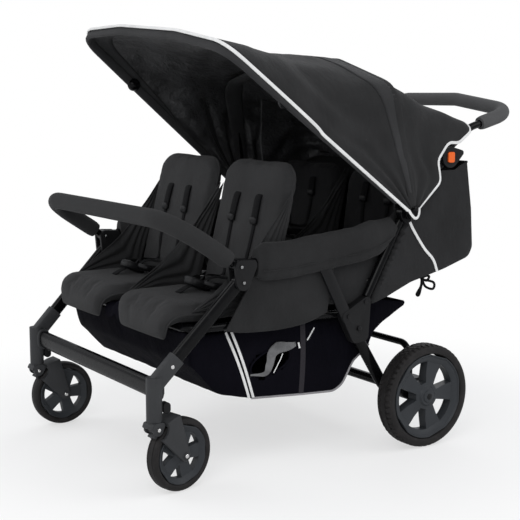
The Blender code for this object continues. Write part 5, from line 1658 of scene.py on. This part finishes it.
def addCovers():
    for hand, word in sides:
        route = resampled(trimmed(railRoute(hand), cover["frontCut"], cover["rearCut"]), 90)
        frames = carriedFrames(route, (1, 0, 0))
        section = oval(cover["halfWidth"], cover["halfHeight"], 36, 0.85)
        rings = []
        for index, (point, (first, second)) in enumerate(zip(route, frames)):
            share = index / (len(route) - 1)
            closing = min(1.0, 0.72 + 0.28 * share / 0.05, 0.55 + 0.45 * (1 - share) / 0.16)
            slack = 1 + 0.030 * math.sin(11 * share * math.pi) * math.sin(math.pi * share)
            ring = []
            for a, b in section:
                spot = point + first * (a * closing * slack) + second * (b * closing)
                spot += (first * a + second * b).normalized() * 0.0024 * ripple(spot, 26.0, 2.0)
                ring.append(spot)
            rings.append(ring)
        stands = [word + "_side_cover"]
        addPiece(word + "_armrest_roll", skin(rings), "cover", "frame", stands, 60)

        upper, lower = [
            smoothCurve([yz(p, hand * cover["x"]) for p in cover[edge]], 60) for edge in ("upper", "lower")
        ]
        rows = lofted(upper, lower, 30)

        def sag(v, u, point):
            free = math.sin(math.pi * v) * math.sin(math.pi * u)
            return 0.0030 * free * (ripple(point, 18.0, 4.0) + 0.4)

        cloth = sheetFrom(pushed(rows, sag))
        name = word + "_side_panel"
        panel = addPiece(name, cloth, "cover", "frame", sharp=60, thick=cover["sheet"])
        for name, edge in (("_side_hem", rows[-1]), ("_side_front_hem", [row[0] for row in rows])):
            bandOn(word + name, edge, 0.0046, 0.0056, "cover", "frame")
        seam = [p + Vector((hand * 0.0198, 0, -0.018)) for p in route[2:-2]]
        bandOn(word + "_roll_seam", seam, 0.0026, 0.0026, "cover", "frame")


basket = {
    "x": 0.300, "wall": 0.294, "bulge": 0.0054, "sheet": 0.0022, "wallSteps": 16, "floorSteps": 15,
    "port": ((-0.215, 0.250, 0.030), (-0.160, 0.262, 0.023)),
    "hem": (0.058, 0.0275), "hemLean": 0.26, "hemCentre": (-0.189, 0.2565),
    "stripes": ((-0.3097, -0.2462), (-0.2942, -0.2342)), "strap": (-0.0946, -0.0980),
    # y, z and width along the flap's middle
    "flap": ((-0.2478, 0.2335, 0.004), (-0.2229, 0.2310, 0.007), (-0.2031, 0.2331, 0.014),
             (-0.1925, 0.2557, 0.022), (-0.1868, 0.2770, 0.026), (-0.1700, 0.2885, 0.028),
             (-0.1437, 0.2885, 0.021), (-0.1177, 0.2915, 0.010)),
    # places, lift off the bag and thickness; the first two are laces, and the third is a painted highlight, a
    # thin white streak on the flap
    "lacesAndPaintedHighlight": ((((-0.1100, 0.2940), (-0.1070, 0.2800)), 0.0040, 0.0048),
              (((-0.0840, 0.2965), (-0.0740, 0.3090), (-0.0620, 0.3240)), 0.0040, 0.0036),
              (((-0.1580, 0.2740), (-0.1640, 0.2620), (-0.1834, 0.2306)), 0.0068, 0.0024)),
}
basketFloor = ((-0.4160, 0.3495), (-0.4000, 0.2725), (-0.3300, 0.1990), (-0.2450, 0.1770), (-0.1060, 0.1660),
               (0.0000, 0.1595), (0.0270, 0.1735), (0.0590, 0.2275), (0.1070, 0.2595), (0.1210, 0.2915),
               (0.1490, 0.3135), (0.2200, 0.3505))
basketTop = ((-0.4160, 0.3500), (-0.3800, 0.3400), (-0.1300, 0.3400), (0.0600, 0.3440), (0.1280, 0.3740),
             (0.2200, 0.3575))


def addBasket():
    floorLine = resampled(rounded([yz(p) for p in basketFloor], 0.030, 6), 96)
    lowLine = [(p.y, p.z) for p in floorLine]
    rows = []
    for point in floorLine:
        top = max(point.z + 0.0006, heightOn(basketTop, point.y))
        half = []
        for step in range(basket["wallSteps"]):
            share = step / basket["wallSteps"]
            bulge = basket["bulge"] * math.sin(math.pi * share) * min(1.0, (top - point.z) / 0.06)
            half.append(Vector((basket["wall"] + bulge, point.y, top + (point.z - top) * share)))
        for step in range(basket["floorSteps"] + 1):
            half.append(Vector((basket["wall"] * (1 - step / basket["floorSteps"]), point.y, point.z)))
        rows.append([*half, *[Vector((-p.x, p.y, p.z)) for p in reversed(half[:-1])]])

    def slack(v, u, point):
        return 0.0022 * ripple(point, 15.0, 7.0) + 0.0010 * ripple(point, 45.0, 3.0)

    points, faces = sheetFrom(pushed(rows, slack))
    (y0, z0, radius0), (y1, z1, radius1) = basket["port"]

    def inPort(face):
        centre = sum((points[index] for index in face), Vector()) / len(face)
        if abs(centre.x) < basket["x"] - 0.03:
            return False
        for share in (step / 8 for step in range(9)):
            away = math.hypot(centre.y - (y0 + (y1 - y0) * share), centre.z - (z0 + (z1 - z0) * share))
            if away < radius0 + (radius1 - radius0) * share:
                return True
        return False

    cloth = points, [face for face in faces if not inPort(face)]
    bag = addPiece("basket_bag", cloth, "basket", "frame", ["basket"], 60, basket["sheet"])

    def onSide(hand, y, share, out=0.0022):
        # a place on the bag's side, at a share of its height there
        low, top = heightOn(lowLine, y), heightOn(basketTop, y)
        bulge = basket["bulge"] * math.sin(math.pi * share)
        return Vector((hand * (basket["wall"] + bulge + out), y, low + (top - low) * share))

    def onBag(hand, y, z, out):
        low, top = heightOn(lowLine, y), heightOn(basketTop, y)
        return onSide(hand, y, max(0.0, min(1.0, (z - low) / (top - low))), out)

    def trim(name, route, wide, thick, finish, hand):
        bandOn(name, route, wide, thick, finish, "frame", (hand, 0, 0))

    for hand, word in sides:
        for index, (topY, lowY) in enumerate(basket["stripes"]):
            route = [onSide(hand, topY + (lowY - topY) * step / 20, 1 - step / 20) for step in range(21)]
            trim(f"{word}_basket_stripe_{index}", route, 0.0020, 0.0068, "tape", hand)
        topY, lowY = basket["strap"]
        strap = [onSide(hand, topY + (lowY - topY) * step / 12, 1 - step / 12) for step in range(13)]
        trim(word + "_basket_strap", strap, 0.0016, 0.0150, "strapTape", hand)
        rim = []
        for step in range(49):
            turn = 2 * math.pi * step / 48
            a, b = basket["hem"][0] * math.cos(turn), basket["hem"][1] * math.sin(turn)
            y = basket["hemCentre"][0] + a * math.cos(basket["hemLean"]) - b * math.sin(basket["hemLean"])
            z = basket["hemCentre"][1] + a * math.sin(basket["hemLean"]) + b * math.cos(basket["hemLean"])
            rim.append(onBag(hand, y, z, 0.0015))
        trim(word + "_basket_port_hem", rim, 0.0040, 0.0050, "basket", hand)

    for hand, word in sides:
        spine = smoothCurve([Vector((width, y, z)) for y, z, width in basket["flap"]], 60)
        rows = []
        for step in range(9):
            row = []
            for index, p in enumerate(spine):
                along = spine[min(59, index + 1)] - spine[max(0, index - 1)]
                across = Vector((0, -along.z, along.y)).normalized() * p.x * (step / 8 - 0.5)
                row.append(onBag(hand, p.y + across.y, p.z + across.z, 0.0050))
            rows.append(row)

        def crumple(v, u, point):
            return 0.0026 * ripple(point, 60.0, 5.0)

        name = word + "_basket_flap"
        cloth = sheetFrom(pushed(rows, crumple))
        flap = addPiece(name, cloth, "silver", "frame", sharp=70, thick=0.0008)
        # the third of these is no lace but a painted highlight, drawn with the white tape
        for index, (places, out, thick) in enumerate(basket["lacesAndPaintedHighlight"]):
            route = [onBag(hand, y, z, out) for y, z in places]
            trim(f"{word}_basket_lace_{index}", route, 0.0018, thick, "tape", hand)

    lip = [Vector(((basket["x"] - 0.010) * (step / 12 - 1), 0.2195, 0.3545)) for step in range(25)]
    hem = swept(lip, oval(0.0085, 0.0068, 20), (0, 1, 0))
    addPiece("basket_rear_hem", hem, "basket", "frame", sharp=60)
    lowEdge = [p for p in floorLine if -0.245 < p.y < 0.112]
    for hand, word in sides:
        edge = [Vector((hand * (basket["x"] - 0.0045), p.y, p.z - 0.0008)) for p in lowEdge]
        bandOn(word + "_basket_edge", edge, 0.0050, 0.0050, "greyTape", "frame")


tub = {
    "wall": 0.3525, "inner": 0.3262, "sheet": 0.0026, "turn": (0.0112, 0.0140), "bindingX": 0.3555,
    "binding": ((0.182, 0.572), (0.196, 0.548), (0.232, 0.500), (0.262, 0.470), (0.276, 0.4395)),
}
tubLower = ((-0.0560, 0.3850), (0.0300, 0.3740), (0.0800, 0.3790))
tubOuter = ((0.112, 0.3890), (0.192, 0.4200), (0.300, 0.4440), (0.3830, 0.4690), (0.3950, 0.4920),
            (0.3880, 0.5900), (0.3700, 0.7080))
tubUpper = ((-0.0400, 0.4980), (0.030, 0.515), (0.085, 0.532), (0.125, 0.560), (0.165, 0.600),
            (0.200, 0.610), (0.285, 0.690), (0.330, 0.690), (0.348, 0.700), (0.3690, 0.7080))


def tubSideX(point):
    # the side lies outside the pusher tube, and in front of the tube it lies inside it
    foot, hub = Vector(side["plateTop"]), Vector(side["hood"])
    along = (hub - foot).normalized()
    away = Vector((point.y, point.z)) - foot
    behind = away.x * along.y - away.y * along.x
    share = max(0.0, min(1.0, (behind - tub["turn"][0]) / (tub["turn"][1] - tub["turn"][0])))
    return tub["inner"] + (tub["wall"] - tub["inner"]) * share


def addTub():
    outer = resampled(rounded([yz(p) for p in tubOuter], 0.024, 8), 72)
    lower = resampled(rounded([yz(p) for p in (*tubLower, *tubOuter)], 0.024, 8), 170)
    upper = resampled([yz(p) for p in tubUpper], 170)
    spread = [Vector((tub["wall"] * (step / 24 - 1), 0, 0)) for step in range(49)]
    rows = [[point + x for x in spread] for point in outer]

    def slack(v, u, point):
        free = math.sin(math.pi * u) ** 0.5 * math.sin(math.pi * v) ** 0.5
        waves = math.sin(9 * point.x + 4 * ripple(point, 5.0))
        return -free * (0.0026 * ripple(point, 9.0, 2.0) + 0.0022 * waves)

    def bow(v, u, point):
        return 0.0016 * math.sin(math.pi * v) * ripple(point, 14.0, 6.0)

    cloths = [sheetFrom(pushed(rows, slack))]
    for hand in (1, -1):
        wall = [[p + Vector((hand * tubSideX(p), 0, 0)) for p in line] for line in lofted(lower, upper, 18)]
        cloths.append(sheetFrom(pushed(wall, bow)))
    cloth = together(*cloths)
    bag = addPiece("rear_tub_bag", cloth, "tub", "frame", ["rear_tub"], 60, tub["sheet"])
    for hand, word in sides:
        line = smoothCurve([yz(p, hand * tub["bindingX"]) for p in tub["binding"]], 40)
        bandOn(word + "_tub_binding", line, 0.0030, 0.0072, "tape", "frame", (hand, 0, 0))
    rim = [Vector((x, 0.3700, 0.7085)) for x in (-tub["wall"], 0.0, tub["wall"])]
    bandOn("tub_rim", rim, 0.0060, 0.0075, "tub", "frame", (0, 0, 1))


# a bow tied in the cord under the tub, on the left
cord = {
    "centre": Vector((0.345, 0.235, 0.424)), "radius": 0.0031,
    "loops": (
        ((0.0, 0.012, -0.022), (0.004, 0.034, -0.030), (0.004, 0.036, -0.014), (0.0, 0.004, -0.004)),
        ((0.0, -0.002, -0.020), (-0.004, -0.012, -0.040), (-0.004, -0.004, -0.042), (0.0, 0.002, -0.008)),
        ((0.0, 0.014, 0.004), (0.003, 0.022, 0.002), (0.0, 0.016, -0.008), (0.0, 0.002, -0.002)),
    ),
    "knot": ((0, -0.006), (0.0035, -0.0045), (0.005, 0), (0.0035, 0.0045), (0, 0.006)),
}


def addDrawcord():
    loops = []
    for places in cord["loops"]:
        points = [cord["centre"] + Vector(p) for p in ((0, 0, 0), *places)]
        loops.append(tube(smoothCurve(points, 40), cord["radius"], 10))
    knot = placed(turned(cord["knot"], 16), cord["centre"])
    addPiece("drawcord_bow", together(knot, *loops), "web", "frame", sharp=60)


addCovers()
addBasket()
addTub()
addDrawcord()
print("side covers, basket and tub made")
